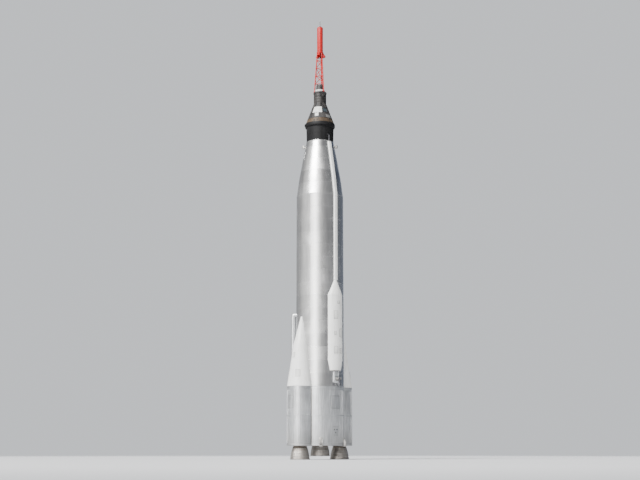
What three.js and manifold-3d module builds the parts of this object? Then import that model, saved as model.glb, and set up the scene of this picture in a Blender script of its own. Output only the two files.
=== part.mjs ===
// A one-and-a-half-stage liquid-fuelled space rocket with a one-man crew capsule and an escape tower.
// Millimetres, +Z up. X runs through the two booster engines, Y through the two equipment pods.
// The origin is on the rocket's axis, in the plane of the four hold-down feet that a launcher grips.
// Round forms are facetted: a facet, and not an edge, faces along +X, -X, +Y and -Y.

import * as THREE from 'three';
import { mergeVertices } from 'three/addons/utils/BufferGeometryUtils.js';
import Module from 'manifold-3d';

const wasm = await Module();
wasm.setup();

// Driving dimensions
const SEAT = 0.3; // gap between pieces that rest on each other
const WALL = 30; // sheet and stringer wall of the tail
const FACETS = { tank: 48, capsule: 28, nacelle: 28, engine: 20, small: 10, tube: 6 };

// Heights up the rocket
const Z = {
  bellExit: -800, // booster bells' rims
  sustainerExit: -590,
  feet: 0, // hold-down feet
  tailRim: 50,
  flameShield: 250,
  boosterGimbal: 1550,
  sustainerGimbal: 1870,
  beams: [1900, 2150], // thrust frame's beams, under and top
  tailTop: 3700, // tail section meets the tank
  nacelleTip: 8090,
  podAft: 4650,
  podNose: 9450,
  podTip: 10400,
  shoulder: 16000, // straight barrel meets the taper
  tankTop: 19720,
  adapterTop: 20780,
  capsuleBase: 20950,
  baseRingTop: 21230,
  coneTop: 22380,
  recoveryTop: 23110,
  canisterTop: 23690,
  motorBase: 25900,
  motorTop: 27730,
  tip: 28250,
};

// Radii
const R = {
  tank: 1525,
  tankTop: 889,
  adapter: 872,
  adapterTop: 940,
  capsule: 946,
  coneTop: 405,
  motor: 195,
};

const NACELLE = { x: 1620, r: 820, tipX: 1500, tipR: 70 };
const POD = { y: 1426, halfWidth: 545, depth: 400, tipHalfWidth: 108, tipDepth: 92, tipY: 1500 };
const CONDUIT = { halfWidth: 105, depth: 90 };

// Materials
function finish(color, roughness, metalness) {
  return new THREE.MeshStandardMaterial({ color, roughness, metalness, flatShading: true });
}
const polishedSteel = finish(0xc9ccce, 0.25, 1.0);
const whitePaint = finish(0xe9eae6, 0.5, 0.0);
const silverPaint = finish(0xb9bcbe, 0.4, 0.6);
const blackPaint = finish(0x26272a, 0.6, 0.1);
const darkShingle = finish(0x3c3e42, 0.55, 0.4);
const bronze = finish(0x7c5c46, 0.5, 0.5);
const redPaint = finish(0xd8382e, 0.45, 0.0);
const engineMetal = finish(0x6f6a66, 0.4, 0.9);
const glass = finish(0x9fb4bd, 0.1, 0.0);

// Solids

// A closed geometry as a solid: shared corners merged, empty triangles dropped, faces turned outwards.
function closed(geometry) {
  const bare = geometry.clone();
  bare.deleteAttribute('normal');
  bare.deleteAttribute('uv');
  const merged = mergeVertices(bare, 0.01);
  const corners = merged.index.array;
  const kept = [];
  for (let i = 0; i < corners.length; i += 3) {
    const [a, b, c] = [corners[i], corners[i + 1], corners[i + 2]];
    if (a !== b && b !== c && c !== a) kept.push(a, b, c);
  }
  const mesh = (order) => new wasm.Mesh({
    numProp: 3,
    vertProperties: Float32Array.from(merged.attributes.position.array),
    triVerts: Uint32Array.from(order),
  });
  const made = new wasm.Manifold(mesh(kept));
  if (made.volume() > 0) return made;
  return new wasm.Manifold(mesh(kept.reverse()));
}

function join(...solids) {
  return solids.reduce((whole, next) => whole.add(next));
}

// A profile of [radius, height] pairs turned about the rocket's axis, or about the upright line at x, y.
function revolve(profile, segments = FACETS.capsule, x = 0, y = 0) {
  const points = profile.map(([r, z]) => new THREE.Vector2(r, z));
  const lathe = new THREE.LatheGeometry(points, segments, Math.PI / segments);
  return closed(lathe.rotateX(Math.PI / 2).translate(x, y, 0));
}

// A ring or tube: outer and inner [radius, height] profiles, both going up.
function ringOf(outer, inner, segments = FACETS.capsule, x = 0, y = 0) {
  return revolve([...outer, ...inner.slice().reverse(), outer[0]], segments, x, y);
}

function block(x, y, z) {
  const [w, d, h] = [x[1] - x[0], y[1] - y[0], z[1] - z[0]];
  return closed(new THREE.BoxGeometry(w, d, h).translate(x[0] + w / 2, y[0] + d / 2, z[0] + h / 2));
}

// An upright prism of a flat shape in X and Y.
function prism(shape, z0, z1) {
  return closed(new THREE.ExtrudeGeometry(shape, { depth: z1 - z0, bevelEnabled: false }).translate(0, 0, z0));
}

// A frustum between two level ellipses, each given by its height, centre and half-widths.
function tapered(low, high, segments = FACETS.nacelle) {
  const frustum = new THREE.CylinderGeometry(1, 1, 1, segments, 1, false, Math.PI / segments).rotateX(Math.PI / 2);
  const corner = frustum.attributes.position;
  for (let i = 0; i < corner.count; i += 1) {
    const end = corner.getZ(i) > 0 ? high : low;
    corner.setXYZ(i, end.x + corner.getX(i) * end.rx, end.y + corner.getY(i) * end.ry, end.z);
  }
  return closed(frustum);
}

// A round bar between two points.
function bar(from, to, radius, segments = FACETS.tube) {
  const [a, b] = [new THREE.Vector3(...from), new THREE.Vector3(...to)];
  const along = b.clone().sub(a);
  const rod = new THREE.CylinderGeometry(radius, radius, along.length(), segments);
  rod.applyQuaternion(new THREE.Quaternion().setFromUnitVectors(new THREE.Vector3(0, 1, 0), along.normalize()));
  return closed(rod.translate(...a.add(b).multiplyScalar(0.5).toArray()));
}

// Points on an arc, in degrees.
function arc(cx, radius, from, to, steps) {
  return Array.from({ length: steps + 1 }, (_, i) => {
    const angle = THREE.MathUtils.degToRad(from + ((to - from) * i) / steps);
    return new THREE.Vector2(cx + radius * Math.cos(angle), radius * Math.sin(angle));
  });
}

function polar(radius, degrees, z) {
  const angle = THREE.MathUtils.degToRad(degrees);
  return [radius * Math.cos(angle), radius * Math.sin(angle), z];
}

// A solid on the +X or -Y side, made again on the opposite side by a half turn.
function halfTurn(solid) {
  return solid.rotate([0, 0, 180]);
}

const rocket = new THREE.Group();

function add(name, solid, material) {
  const { vertProperties, triVerts } = solid.getMesh();
  const geometry = new THREE.BufferGeometry();
  geometry.setAttribute('position', new THREE.BufferAttribute(vertProperties, 3));
  geometry.setIndex(new THREE.BufferAttribute(triVerts, 1));
  geometry.computeVertexNormals();
  const piece = new THREE.Mesh(geometry, material);
  piece.name = name;
  rocket.add(piece);
}

// Tank

const taperProfile = [
  [R.tank, Z.shoulder],
  [1365, Z.shoulder + 1180],
  [1140, Z.shoulder + 2430],
  [R.tankTop, Z.tankTop],
];

function tankEnvelope(margin) {
  const skin = [[R.tank, 0], ...taperProfile].map(([r, z]) => [r + margin, z]);
  return revolve([[0, 0], ...skin, [0, Z.tankTop]], FACETS.tank);
}
const tankRoom = tankEnvelope(SEAT);

add('tank_barrel', revolve([[0, Z.tailTop], [R.tank, Z.tailTop], [R.tank, Z.shoulder], [0, Z.shoulder]], FACETS.tank), polishedSteel);
add('tank_taper', revolve([[0, Z.shoulder + SEAT], [R.tank, Z.shoulder + SEAT], ...taperProfile.slice(1), [0, Z.tankTop]], FACETS.tank), polishedSteel);

// Gimbals: an upper yoke with ears on X, a cross, and a lower yoke with ears on Y

const YOKE = { inner: 95, outer: 130, halfWidth: 42, reach: 60, pin: 30, hole: 36, shoulder: 46 };

// Two ears with pin holes, on the X or the Y axis of a gimbal at x, z, standing on or hung from a base.
function yoke(x, z, base, onX) {
  const [low, high] = [Math.min(base, z - YOKE.reach), Math.max(base, z + YOKE.reach)];
  const [near, far, half] = [YOKE.inner, YOKE.outer, YOKE.halfWidth];
  const ear = (side) => {
    const across = side > 0 ? [near, far] : [-far, -near];
    const wide = [-half, half];
    const plate = block((onX ? across : wide).map((v) => v + x), onX ? wide : across, [low, high]);
    const reach = far + 20;
    const hole = onX ? bar([x - reach, 0, z], [x + reach, 0, z], YOKE.hole, FACETS.small)
      : bar([x, -reach, z], [x, reach, z], YOKE.hole, FACETS.small);
    return plate.subtract(hole);
  };
  return join(ear(1), ear(-1));
}

// A cross of two pins; the shoulders of each pin bear on the inner faces of the ears it turns in.
function gimbalCross(x, z) {
  const stages = [[YOKE.inner - SEAT, YOKE.shoulder], [YOKE.outer - 2, YOKE.pin]];
  return join(...stages.flatMap(([reach, radius]) => [
    bar([x - reach, 0, z], [x + reach, 0, z], radius, FACETS.small),
    bar([x, -reach, z], [x, reach, z], radius, FACETS.small),
  ]));
}

// Tank's aft cone, with the sustainer's upper yoke on its tip

const aftConeTip = Z.beams[1] - 50;
const yokePlate = 130; // from a gimbal's centre up to the plate that its upper yoke hangs from
add('tank_aft_cone', join(
  revolve([[0, Z.sustainerGimbal + yokePlate], [190, Z.sustainerGimbal + yokePlate], [230, aftConeTip], [330, aftConeTip],
    [1480, Z.tailTop - SEAT], [0, Z.tailTop - SEAT]], FACETS.tank),
  yoke(0, Z.sustainerGimbal, Z.sustainerGimbal + yokePlate + 20, true),
), silverPaint);

// External oxidiser duct, from the tank's side down into the tail, between a pod and a nacelle

const DUCT = { degrees: 135, r: 150, out: 1715, top: 8300, foot: 3250, bend: 330 };

function ductPipe(radius) {
  const path = new THREE.CurvePath();
  const spot = (out, z) => new THREE.Vector3(out, 0, z);
  const inner = R.tank - 120;
  path.add(new THREE.LineCurve3(spot(inner, DUCT.top), spot(DUCT.out - 60, DUCT.top)));
  path.add(new THREE.QuadraticBezierCurve3(spot(DUCT.out - 60, DUCT.top), spot(DUCT.out, DUCT.top), spot(DUCT.out, DUCT.top - DUCT.bend)));
  path.add(new THREE.LineCurve3(spot(DUCT.out, DUCT.top - DUCT.bend), spot(DUCT.out, DUCT.foot + DUCT.bend)));
  path.add(new THREE.QuadraticBezierCurve3(spot(DUCT.out, DUCT.foot + DUCT.bend), spot(DUCT.out, DUCT.foot), spot(inner, DUCT.foot)));
  const section = new THREE.Shape(arc(0, radius, 0, 360, 10).slice(0, -1));
  const pipe = closed(new THREE.ExtrudeGeometry(section, { extrudePath: path, steps: 36, bevelEnabled: false }));
  return pipe.rotate([0, 0, DUCT.degrees]);
}

add('oxidiser_duct', join(
  ductPipe(DUCT.r),
  ...[5000, 6700].map((z) => block([1480, 1640], [-60, 60], [z, z + 80]).rotate([0, 0, DUCT.degrees])),
).subtract(tankRoom), silverPaint);

// Tail section: two nacelles, two skirt panels with hold-down feet, a flame shield and a thrust frame

const NACELLE_SWEEP = 114; // degrees each way round a nacelle's own centre
const SKIRT_SWEEP = [28, 152]; // degrees round the rocket, before the nacelles' room is cut away

const nacelleArc = (radius) => arc(NACELLE.x, radius, -NACELLE_SWEEP, NACELLE_SWEEP, 24);
const skirtArc = (radius) => arc(0, radius, ...SKIRT_SWEEP, 16);

function nacelleShell(side) {
  const outline = new THREE.Shape([...nacelleArc(NACELLE.r), ...nacelleArc(NACELLE.r - WALL).reverse()]);
  const shell = prism(outline, Z.tailRim, Z.tailTop - SEAT);
  return side > 0 ? shell : halfTurn(shell);
}

function nacelleNose(side) {
  const foot = { z: Z.tailTop, x: NACELLE.x, y: 0, rx: NACELLE.r, ry: NACELLE.r };
  const middle = { z: 6300, x: 1590, y: 0, rx: 452, ry: 452 };
  const tip = { z: Z.nacelleTip, x: NACELLE.tipX, y: 0, rx: NACELLE.tipR, ry: NACELLE.tipR };
  const nose = join(tapered(foot, middle), tapered(middle, tip)).subtract(tankRoom);
  return side > 0 ? nose : halfTurn(nose);
}

const FOOT = { degrees: 52, halfWidth: 110, depth: 150, height: 420 };

function holdDownFoot(degrees) {
  const near = R.tank - 12;
  const foot = block([near, near + FOOT.depth], [-FOOT.halfWidth, FOOT.halfWidth], [Z.feet, FOOT.height]);
  const ramp = block([near + 60, near + 400], [-200, 200], [FOOT.height - 130, FOOT.height + 400]);
  const sloped = foot.subtract(ramp.translate([-near - 60, 0, -FOOT.height + 130]).rotate([0, -30, 0])
    .translate([near + 60, 0, FOOT.height - 50]));
  return sloped.rotate([0, 0, degrees]);
}

function skirtPanel(side) {
  const outline = new THREE.Shape([...skirtArc(R.tank), ...skirtArc(R.tank - WALL).reverse()]);
  const nacelleRoom = prism(new THREE.Shape(nacelleArc(NACELLE.r + SEAT)), 0, Z.tailTop);
  const panel = join(
    prism(outline, Z.tailRim, Z.tailTop - SEAT).subtract(nacelleRoom).subtract(halfTurn(nacelleRoom)),
    holdDownFoot(FOOT.degrees),
    holdDownFoot(180 - FOOT.degrees),
  );
  return side > 0 ? panel : halfTurn(panel);
}

// The room inside the tail section, drawn in by a margin: what seats in the tail is cut to it.
function tailBay(margin, z0, z1) {
  const front = skirtArc(R.tank - WALL - margin);
  const rear = front.map(({ x, y }) => new THREE.Vector2(-x, -y));
  const waist = prism(new THREE.Shape([...front, ...rear]), z0, z1).intersect(block([-1275, 1275], [-2000, 2000], [z0, z1]));
  const lobe = prism(new THREE.Shape(nacelleArc(NACELLE.r - WALL - margin)), z0, z1);
  return join(waist, block([-1400, 1400], [-700, 700], [z0, z1]), lobe, halfTurn(lobe));
}

add('nacelle_shell_right', nacelleShell(1), silverPaint);
add('nacelle_shell_left', nacelleShell(-1), silverPaint);
add('nacelle_nose_right', nacelleNose(1), whitePaint);
add('nacelle_nose_left', nacelleNose(-1), whitePaint);
add('skirt_panel_rear', skirtPanel(1).subtract(ductPipe(DUCT.r + 12)), silverPaint);
add('skirt_panel_front', skirtPanel(-1), silverPaint);

// Holes in the flame shield as [x, radius], wide enough for each bell's swing
const shieldHoles = [[-NACELLE.x, 540], [0, 620], [NACELLE.x, 540]];
add('flame_shield', shieldHoles.reduce(
  (plate, [x, r]) => plate.subtract(revolve([[0, 0], [r, 0], [r, 900], [0, 900]], FACETS.engine, x)),
  tailBay(SEAT, Z.flameShield, Z.flameShield + WALL),
), engineMetal);

function thrustFrame() {
  const [low, high] = Z.beams;
  const beam = (y) => block([-2400, 2400], [y - 45, y + 45], [low, high]);
  const crossHead = (x) => join(
    block([x - 150, x + 150], [-665, 665], [low, high]),
    block([x - 150, x + 150], [-70, 70], [Z.boosterGimbal + yokePlate, low + 10]),
    yoke(x, Z.boosterGimbal, Z.boosterGimbal + yokePlate + 20, true),
  );
  return join(beam(620), beam(-620), crossHead(NACELLE.x), crossHead(-NACELLE.x)).intersect(tailBay(SEAT, 0, 3000));
}
add('thrust_frame', thrustFrame(), engineMetal);

// Main engines: a bell, a chamber and a lower yoke, all hung from a gimbal

// Profiles of [radius, height above the bell's rim]
const BOOSTER = {
  outer: [[610, 0], [570, 290], [470, 680], [300, 1080], [240, 1190], [285, 1340], [285, 1870], [160, 2120]],
  inner: [[585, 0], [545, 290], [442, 680], [262, 1080], [200, 1190], [245, 1340], [245, 1800]],
};
const SUSTAINER = {
  outer: [[610, 0], [560, 380], [440, 820], [250, 1255], [165, 1420], [215, 1570], [215, 1960], [150, 2110]],
  inner: [[585, 0], [535, 380], [412, 820], [212, 1255], [122, 1420], [175, 1570], [175, 1900]],
};

function mainEngine(shape, x, exit, gimbal) {
  const top = gimbal - 150;
  const outer = shape.outer.map(([r, z]) => [r, z + exit]);
  const inner = shape.inner.map(([r, z]) => [r, z + exit]);
  const body = revolve([...outer, [150, top], [0, top], [0, inner.at(-1)[1]], ...inner.reverse(), outer[0]], FACETS.engine, x);
  return join(body, yoke(x, gimbal, top - 20, false));
}

[['left', -NACELLE.x], ['right', NACELLE.x]].forEach(([side, x]) => {
  add(`booster_gimbal_${side}`, gimbalCross(x, Z.boosterGimbal), engineMetal);
  add(`booster_engine_${side}`, mainEngine(BOOSTER, x, Z.bellExit, Z.boosterGimbal), engineMetal);
});
add('sustainer_gimbal', gimbalCross(0, Z.sustainerGimbal), engineMetal);
add('sustainer_engine', mainEngine(SUSTAINER, 0, Z.sustainerExit, Z.sustainerGimbal), engineMetal);

// Vernier engines, one at the foot of each pod: a mount, a swivelling yoke and a tilting chamber

const VERNIER = { z: 4150, face: 1640, pinY: 1870, earIn: 100, earOut: 124, bellR: 85 };

function vernierMount() {
  const body = block([-210, 210], [-VERNIER.face, -1300], [VERNIER.z - 230, Z.podAft - SEAT]);
  return body.subtract(tankRoom);
}

function vernierYoke() {
  const hub = VERNIER.face + SEAT;
  const ear = (side) => block(side > 0 ? [VERNIER.earIn, VERNIER.earOut] : [-VERNIER.earOut, -VERNIER.earIn],
    [-VERNIER.pinY - 55, -hub - 60], [VERNIER.z - 55, VERNIER.z + 55]);
  const plate = block([-VERNIER.earOut, VERNIER.earOut], [-hub - 75, -hub - 35], [VERNIER.z - 55, VERNIER.z + 55]);
  const disc = bar([0, -hub, VERNIER.z], [0, -hub - 50, VERNIER.z], 118, FACETS.engine);
  const hole = bar([-200, -VERNIER.pinY, VERNIER.z], [200, -VERNIER.pinY, VERNIER.z], 24, FACETS.small);
  return join(disc, plate, ear(1), ear(-1)).subtract(hole);
}

function vernierEngine() {
  const z = VERNIER.z;
  const r = VERNIER.bellR;
  const bell = ringOf([[r, z - 400], [r - 10, z - 330], [38, z - 230], [62, z - 180], [62, z + 60]],
    [[r - 9, z - 400], [r - 19, z - 330], [26, z - 230], [48, z - 180], [48, z + 40]], FACETS.engine, 0, -VERNIER.pinY);
  const cap = revolve([[0, z + 40], [62, z + 40], [62, z + 60], [40, z + 95], [0, z + 95]], FACETS.engine, 0, -VERNIER.pinY);
  const pin = (side) => join(
    bar([side * 50, -VERNIER.pinY, z], [side * 122, -VERNIER.pinY, z], 19, FACETS.small),
    bar([side * 50, -VERNIER.pinY, z], [side * (VERNIER.earIn - SEAT), -VERNIER.pinY, z], 32, FACETS.small),
  );
  return join(bell, cap, pin(1), pin(-1));
}

function pod() {
  const section = { x: 0, y: -POD.y, rx: POD.halfWidth, ry: POD.depth };
  const aft = { ...section, rx: 420, ry: 310, z: Z.podAft };
  const tail = { ...section, z: Z.podAft + 650 };
  const nose = { ...section, z: Z.podNose };
  const tip = { x: 0, y: -POD.tipY, rx: POD.tipHalfWidth, ry: POD.tipDepth, z: Z.podTip };
  return join(tapered(aft, tail), tapered(tail, nose), tapered(nose, tip)).subtract(tankRoom);
}

// The conduit runs from the pod's tip up the barrel and over the shoulder to the tank's top.
function conduit() {
  const skinAt = (z) => {
    const above = taperProfile.findIndex(([, height]) => z <= height);
    if (above <= 0) return R.tank;
    const [[r0, z0], [r1, z1]] = [taperProfile[above - 1], taperProfile[above]];
    return r0 + ((r1 - r0) * (z - z0)) / (z1 - z0);
  };
  const heights = [Z.podTip + SEAT, Z.shoulder - 100, ...taperProfile.slice(1, -1).map(([, z]) => z), Z.tankTop - 90];
  const outline = new THREE.Shape([
    ...heights.map((z) => new THREE.Vector2(skinAt(z) + CONDUIT.depth, z)),
    ...heights.slice().reverse().map((z) => new THREE.Vector2(skinAt(z) - 60, z)),
  ]);
  const half = CONDUIT.halfWidth;
  const run = new THREE.ExtrudeGeometry(outline, { depth: 2 * half, bevelEnabled: false }).translate(0, 0, -half);
  return closed(run.rotateX(Math.PI / 2).rotateZ(-Math.PI / 2)).subtract(tankRoom);
}

[['front', (solid) => solid], ['rear', halfTurn]].forEach(([side, placed]) => {
  add(`pod_${side}`, placed(pod()), whitePaint);
  add(`conduit_${side}`, placed(conduit()), whitePaint);
  add(`vernier_mount_${side}`, placed(vernierMount()), silverPaint);
  add(`vernier_yoke_${side}`, placed(vernierYoke()), engineMetal);
  add(`vernier_engine_${side}`, placed(vernierEngine()), engineMetal);
});

// Vent valves on the taper's top, either side

function ventValve(degrees) {
  const z = Z.tankTop - 330;
  const neck = bar([880, 0, z], [1085, 0, z + 40], 62, FACETS.small);
  const cap = bar([1085, 0, z - 70], [1085, 0, z + 150], 78, FACETS.small);
  return join(neck, cap).rotate([0, 0, degrees]).subtract(tankRoom);
}
add('vent_valve_right', ventValve(-43), blackPaint);
add('vent_valve_left', ventValve(137), blackPaint);

// Adapter ring between tank and capsule, and the clamp ring round their joint

add('capsule_adapter', ringOf(
  [[R.tankTop, Z.tankTop + SEAT], [R.tankTop, Z.tankTop + 60], [R.adapter, Z.tankTop + 75], [R.adapter + 22, Z.adapterTop - 110],
    [R.adapterTop, Z.adapterTop - 80], [R.adapterTop, Z.adapterTop]],
  [[R.tankTop - 80, Z.tankTop + SEAT], [R.tankTop - 80, Z.adapterTop]],
), blackPaint);
add('heat_shield', revolve([[0, Z.adapterTop - 190], [450, Z.adapterTop - 130], [780, Z.adapterTop + SEAT],
  [R.capsule - 2, Z.adapterTop + SEAT], [R.capsule, Z.capsuleBase - SEAT], [0, Z.capsuleBase - SEAT]]), bronze);
add('clamp_ring', join(
  ringOf([[R.capsule + 32, Z.adapterTop - 60], [R.capsule + 44, Z.adapterTop + 20], [R.capsule + 44, Z.capsuleBase - 30], [R.capsule + 30, Z.capsuleBase]],
    [[R.capsule + SEAT, Z.adapterTop - 60], [R.capsule + SEAT, Z.capsuleBase]]),
  ...[30, 150, 270].map((degrees) => block([R.capsule + 10, R.capsule + 78], [-130, 130], [Z.adapterTop - 40, Z.capsuleBase - 20])
    .rotate([0, 0, degrees])),
), blackPaint);

// Crew capsule: a hollow cone with a hatch, a window and a couch

const CONE = { slope: (R.capsule - R.coneTop) / (Z.coneTop - Z.capsuleBase), wall: 80 };
const coneRadius = (z) => R.capsule - CONE.slope * (z - Z.capsuleBase);

// The cone's wall between two heights, from one depth under its skin to another.
function coneWall(low, high, skin = 0, depth = CONE.wall) {
  return ringOf([[coneRadius(low) - skin, low], [coneRadius(high) - skin, high]],
    [[coneRadius(low) - depth, low], [coneRadius(high) - depth, high]]);
}

// A block that passes straight through the cone's wall, with its length along the wall's normal.
function wallCutter(degrees, z, width, height, depth = 400) {
  const lean = THREE.MathUtils.radToDeg(Math.atan(CONE.slope));
  return block([-depth / 2, depth / 2], [-width / 2, width / 2], [-height / 2, height / 2])
    .rotate([0, -lean, 0])
    .translate([coneRadius(z), 0, z])
    .rotate([0, 0, degrees]);
}

// The hatch lies in a recess of the wall's outer part, on a ledge that runs round a smaller hole.
const HATCH = { degrees: 320, z: 21770, width: 520, height: 600, gap: 6, thick: 45, ledge: 30 };
const WINDOW = { degrees: 262, z: 21830, width: 300, height: 300 };
const [coneLow, coneHigh] = [Z.baseRingTop + SEAT, Z.coneTop - SEAT];
const hatchRoom = (inset) => wallCutter(HATCH.degrees, HATCH.z, HATCH.width - 2 * inset, HATCH.height - 2 * inset);

add('capsule_base_ring', coneWall(Z.capsuleBase, Z.baseRingTop), bronze);
add('capsule_cone', coneWall(coneLow, coneHigh)
  .subtract(coneWall(coneLow, coneHigh, -5, HATCH.thick).intersect(hatchRoom(0)))
  .subtract(hatchRoom(HATCH.ledge))
  .subtract(wallCutter(WINDOW.degrees, WINDOW.z, WINDOW.width, WINDOW.height)), darkShingle);
add('crew_hatch', coneWall(coneLow, coneHigh, 0, HATCH.thick - SEAT).intersect(hatchRoom(HATCH.gap)), darkShingle);
add('cabin_window', coneWall(coneLow, coneHigh, 20, 55).intersect(
  wallCutter(WINDOW.degrees, WINDOW.z, WINDOW.width - 2 * SEAT, WINDOW.height - 2 * SEAT)), glass);
add('crew_couch', join(
  block([-260, 260], [-560, 420], [Z.capsuleBase, Z.capsuleBase + 120]),
  block([-260, 260], [200, 420], [Z.capsuleBase + 100, Z.capsuleBase + 300]),
  block([-260, 260], [-560, -420], [Z.capsuleBase + 100, Z.capsuleBase + 240]),
), whitePaint);

add('recovery_section', revolve([[0, Z.coneTop], [R.coneTop, Z.coneTop], [R.coneTop - 5, Z.recoveryTop - 90],
  [R.coneTop + 38, Z.recoveryTop - 60], [R.coneTop + 38, Z.recoveryTop], [0, Z.recoveryTop]]), darkShingle);
add('antenna_canister', revolve([[0, Z.recoveryTop + SEAT], [318, Z.recoveryTop + SEAT], [312, Z.recoveryTop + 200],
  [270, Z.recoveryTop + 230], [225, Z.canisterTop - 30], [190, Z.canisterTop], [0, Z.canisterTop]], FACETS.engine), darkShingle);

// Escape tower: a three-legged truss, a nozzle cluster, a motor and an aerodynamic spike

// Bracing starts above the canister; levels are shares of the way up the legs.
const TOWER = { footR: 378, headR: 185, legR: 34, braceR: 20, levels: [0.225, 0.42, 0.615, 0.81], start: 30 };

function towerTruss() {
  const [low, high] = [Z.recoveryTop + 20, Z.motorBase + 20];
  const at = (leg, share) => polar(TOWER.footR + (TOWER.headR - TOWER.footR) * share,
    TOWER.start + 120 * leg, low + (high - low) * share);
  const bars = [ringOf([[TOWER.footR + 38, Z.recoveryTop], [TOWER.footR + 38, Z.recoveryTop + 60]],
    [[TOWER.footR - 38, Z.recoveryTop], [TOWER.footR - 38, Z.recoveryTop + 60]], FACETS.engine)];
  for (let leg = 0; leg < 3; leg += 1) {
    bars.push(bar(at(leg, 0), at(leg, 1), TOWER.legR));
    TOWER.levels.forEach((share, i) => {
      bars.push(bar(at(leg, share), at(leg + 1, share), TOWER.braceR, 6));
      if (i > 0) bars.push(bar(at(leg + (i % 2), TOWER.levels[i - 1]), at(leg + ((i + 1) % 2), share), TOWER.braceR, 6));
    });
  }
  return join(...bars).intersect(block([-600, 600], [-600, 600], [Z.recoveryTop + SEAT, Z.motorBase - SEAT]));
}
add('tower_truss', towerTruss(), redPaint);

// Three canted nozzles and the small jettison motor, under one end plate of the motor.
function escapeNozzles() {
  const plateTop = Z.motorBase + 80;
  const nozzle = revolve([[0, -10], [52, -10], [100, -330], [118, -330], [70, 0], [70, 15], [0, 15]], FACETS.small);
  const cluster = [0, 1, 2].map((i) => nozzle.rotate([0, -24, 0]).translate([150, 0, Z.motorBase + 30])
    .rotate([0, 0, TOWER.start + 60 + 120 * i]));
  const jettison = revolve([[0, Z.motorBase - 330], [40, Z.motorBase - 330], [75, Z.motorBase - 200],
    [75, Z.motorBase + 10], [0, Z.motorBase + 10]], FACETS.small);
  const plate = revolve([[0, Z.motorBase], [225, Z.motorBase], [225, plateTop - 20], [200, plateTop], [0, plateTop]], FACETS.engine);
  return join(plate, jettison, ...cluster);
}
add('escape_nozzles', escapeNozzles(), redPaint);
add('escape_motor', revolve([[0, Z.motorBase + 80 + SEAT], [R.motor, Z.motorBase + 80 + SEAT], [R.motor, Z.motorTop - 60],
  [R.motor - 30, Z.motorTop], [0, Z.motorTop]], FACETS.engine), redPaint);
add('aerodynamic_spike', revolve([[0, Z.motorTop + SEAT], [95, Z.motorTop + SEAT], [70, Z.motorTop + 60], [24, Z.motorTop + 110],
  [20, Z.tip - 90], [4, Z.tip], [0, Z.tip]], FACETS.small), silverPaint);

export default rocket;
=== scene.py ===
"""A crewed space rocket with a polished tank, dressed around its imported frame."""

import math

import bpy
from mathutils import Matrix, Vector


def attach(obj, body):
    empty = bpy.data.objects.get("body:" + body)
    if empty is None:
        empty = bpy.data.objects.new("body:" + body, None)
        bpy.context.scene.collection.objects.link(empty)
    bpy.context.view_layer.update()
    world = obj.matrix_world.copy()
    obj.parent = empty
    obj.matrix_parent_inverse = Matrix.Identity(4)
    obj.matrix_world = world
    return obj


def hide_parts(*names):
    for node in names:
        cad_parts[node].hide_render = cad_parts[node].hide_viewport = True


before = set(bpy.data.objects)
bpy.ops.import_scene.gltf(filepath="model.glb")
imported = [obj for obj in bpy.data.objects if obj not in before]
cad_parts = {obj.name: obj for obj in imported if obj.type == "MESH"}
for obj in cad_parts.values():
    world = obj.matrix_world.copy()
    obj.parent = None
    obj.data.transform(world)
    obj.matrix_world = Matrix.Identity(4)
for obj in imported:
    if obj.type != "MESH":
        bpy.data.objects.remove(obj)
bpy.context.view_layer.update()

# Sizes in metres and angles in degrees, as in the part's source
TANK_R, TANK_TOP_R = 1.525, 0.889
TAIL_TOP, SHOULDER, TANK_TOP = 3.7, 16.0, 19.72
TAPER = [(1.525, 16.0), (1.365, 17.18), (1.14, 18.43), (0.889, 19.72)]
TAPER_KINKS = [z for _, z in TAPER[1:-1]]
NACELLE_X, NACELLE_R = 1.62, 0.82
NACELLE_NOSE = [(3.7, 1.62, 0.82), (6.3, 1.59, 0.452), (8.09, 1.5, 0.07)]
BOOSTER_GIMBAL, SUSTAINER_GIMBAL = 1.55, 1.87
FLOOR_Z, SUSTAINER_EXIT = -0.8, -0.59
SHIELD_Z = 0.25
POD_Y, POD_HALF, POD_DEPTH = 1.426, 0.545, 0.4
POD_AFT, POD_NOSE, POD_TIP = 4.65, 9.45, 10.4
CONDUIT_HALF, CONDUIT_DEPTH = 0.105, 0.09
VERNIER_Z, VERNIER_PIN_Y, VERNIER_FACE = 4.15, 1.87, 1.64
DUCT_ANGLE, DUCT_R, DUCT_OUT, DUCT_FOOT = 135, 0.15, 1.715, 3.25
ADAPTER_TOP, CAPSULE_BASE, BASE_RING_TOP = 20.78, 20.95, 21.23
CONE_TOP, RECOVERY_TOP, CANISTER_TOP = 22.38, 23.11, 23.69
CAPSULE_R, CONE_TOP_R = 0.946, 0.405
MOTOR_BASE, MOTOR_TOP, TIP = 25.9, 27.73, 28.25
CONE_SLOPE = (CAPSULE_R - CONE_TOP_R) / (CONE_TOP - CAPSULE_BASE)
CONE_LEAN = math.degrees(math.atan(CONE_SLOPE))
HATCH = {"angle": 320, "z": 21.77, "width": 0.52, "height": 0.6, "corner": 0.05}
WINDOW = {"angle": 262, "z": 21.83, "width": 0.3, "height": 0.3, "corner": 0.03}
FOOT_ANGLES = (52, 128)
LEG_FOOT_R, LEG_HEAD_R, LEG_R, BRACE_R, LEG_START = 0.378, 0.185, 0.034, 0.02, 30
BRACE_LEVELS = (0.225, 0.42, 0.615, 0.81)
AT_LEGS = [LEG_START + 120 * leg for leg in range(3)]
BETWEEN_LEGS = [angle + 60 for angle in AT_LEGS]

# The gap between pieces that touch, and how far pods and noses reach into the tank's skin
SEAT, TANK_SINK = 0.0003, 0.003

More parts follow.
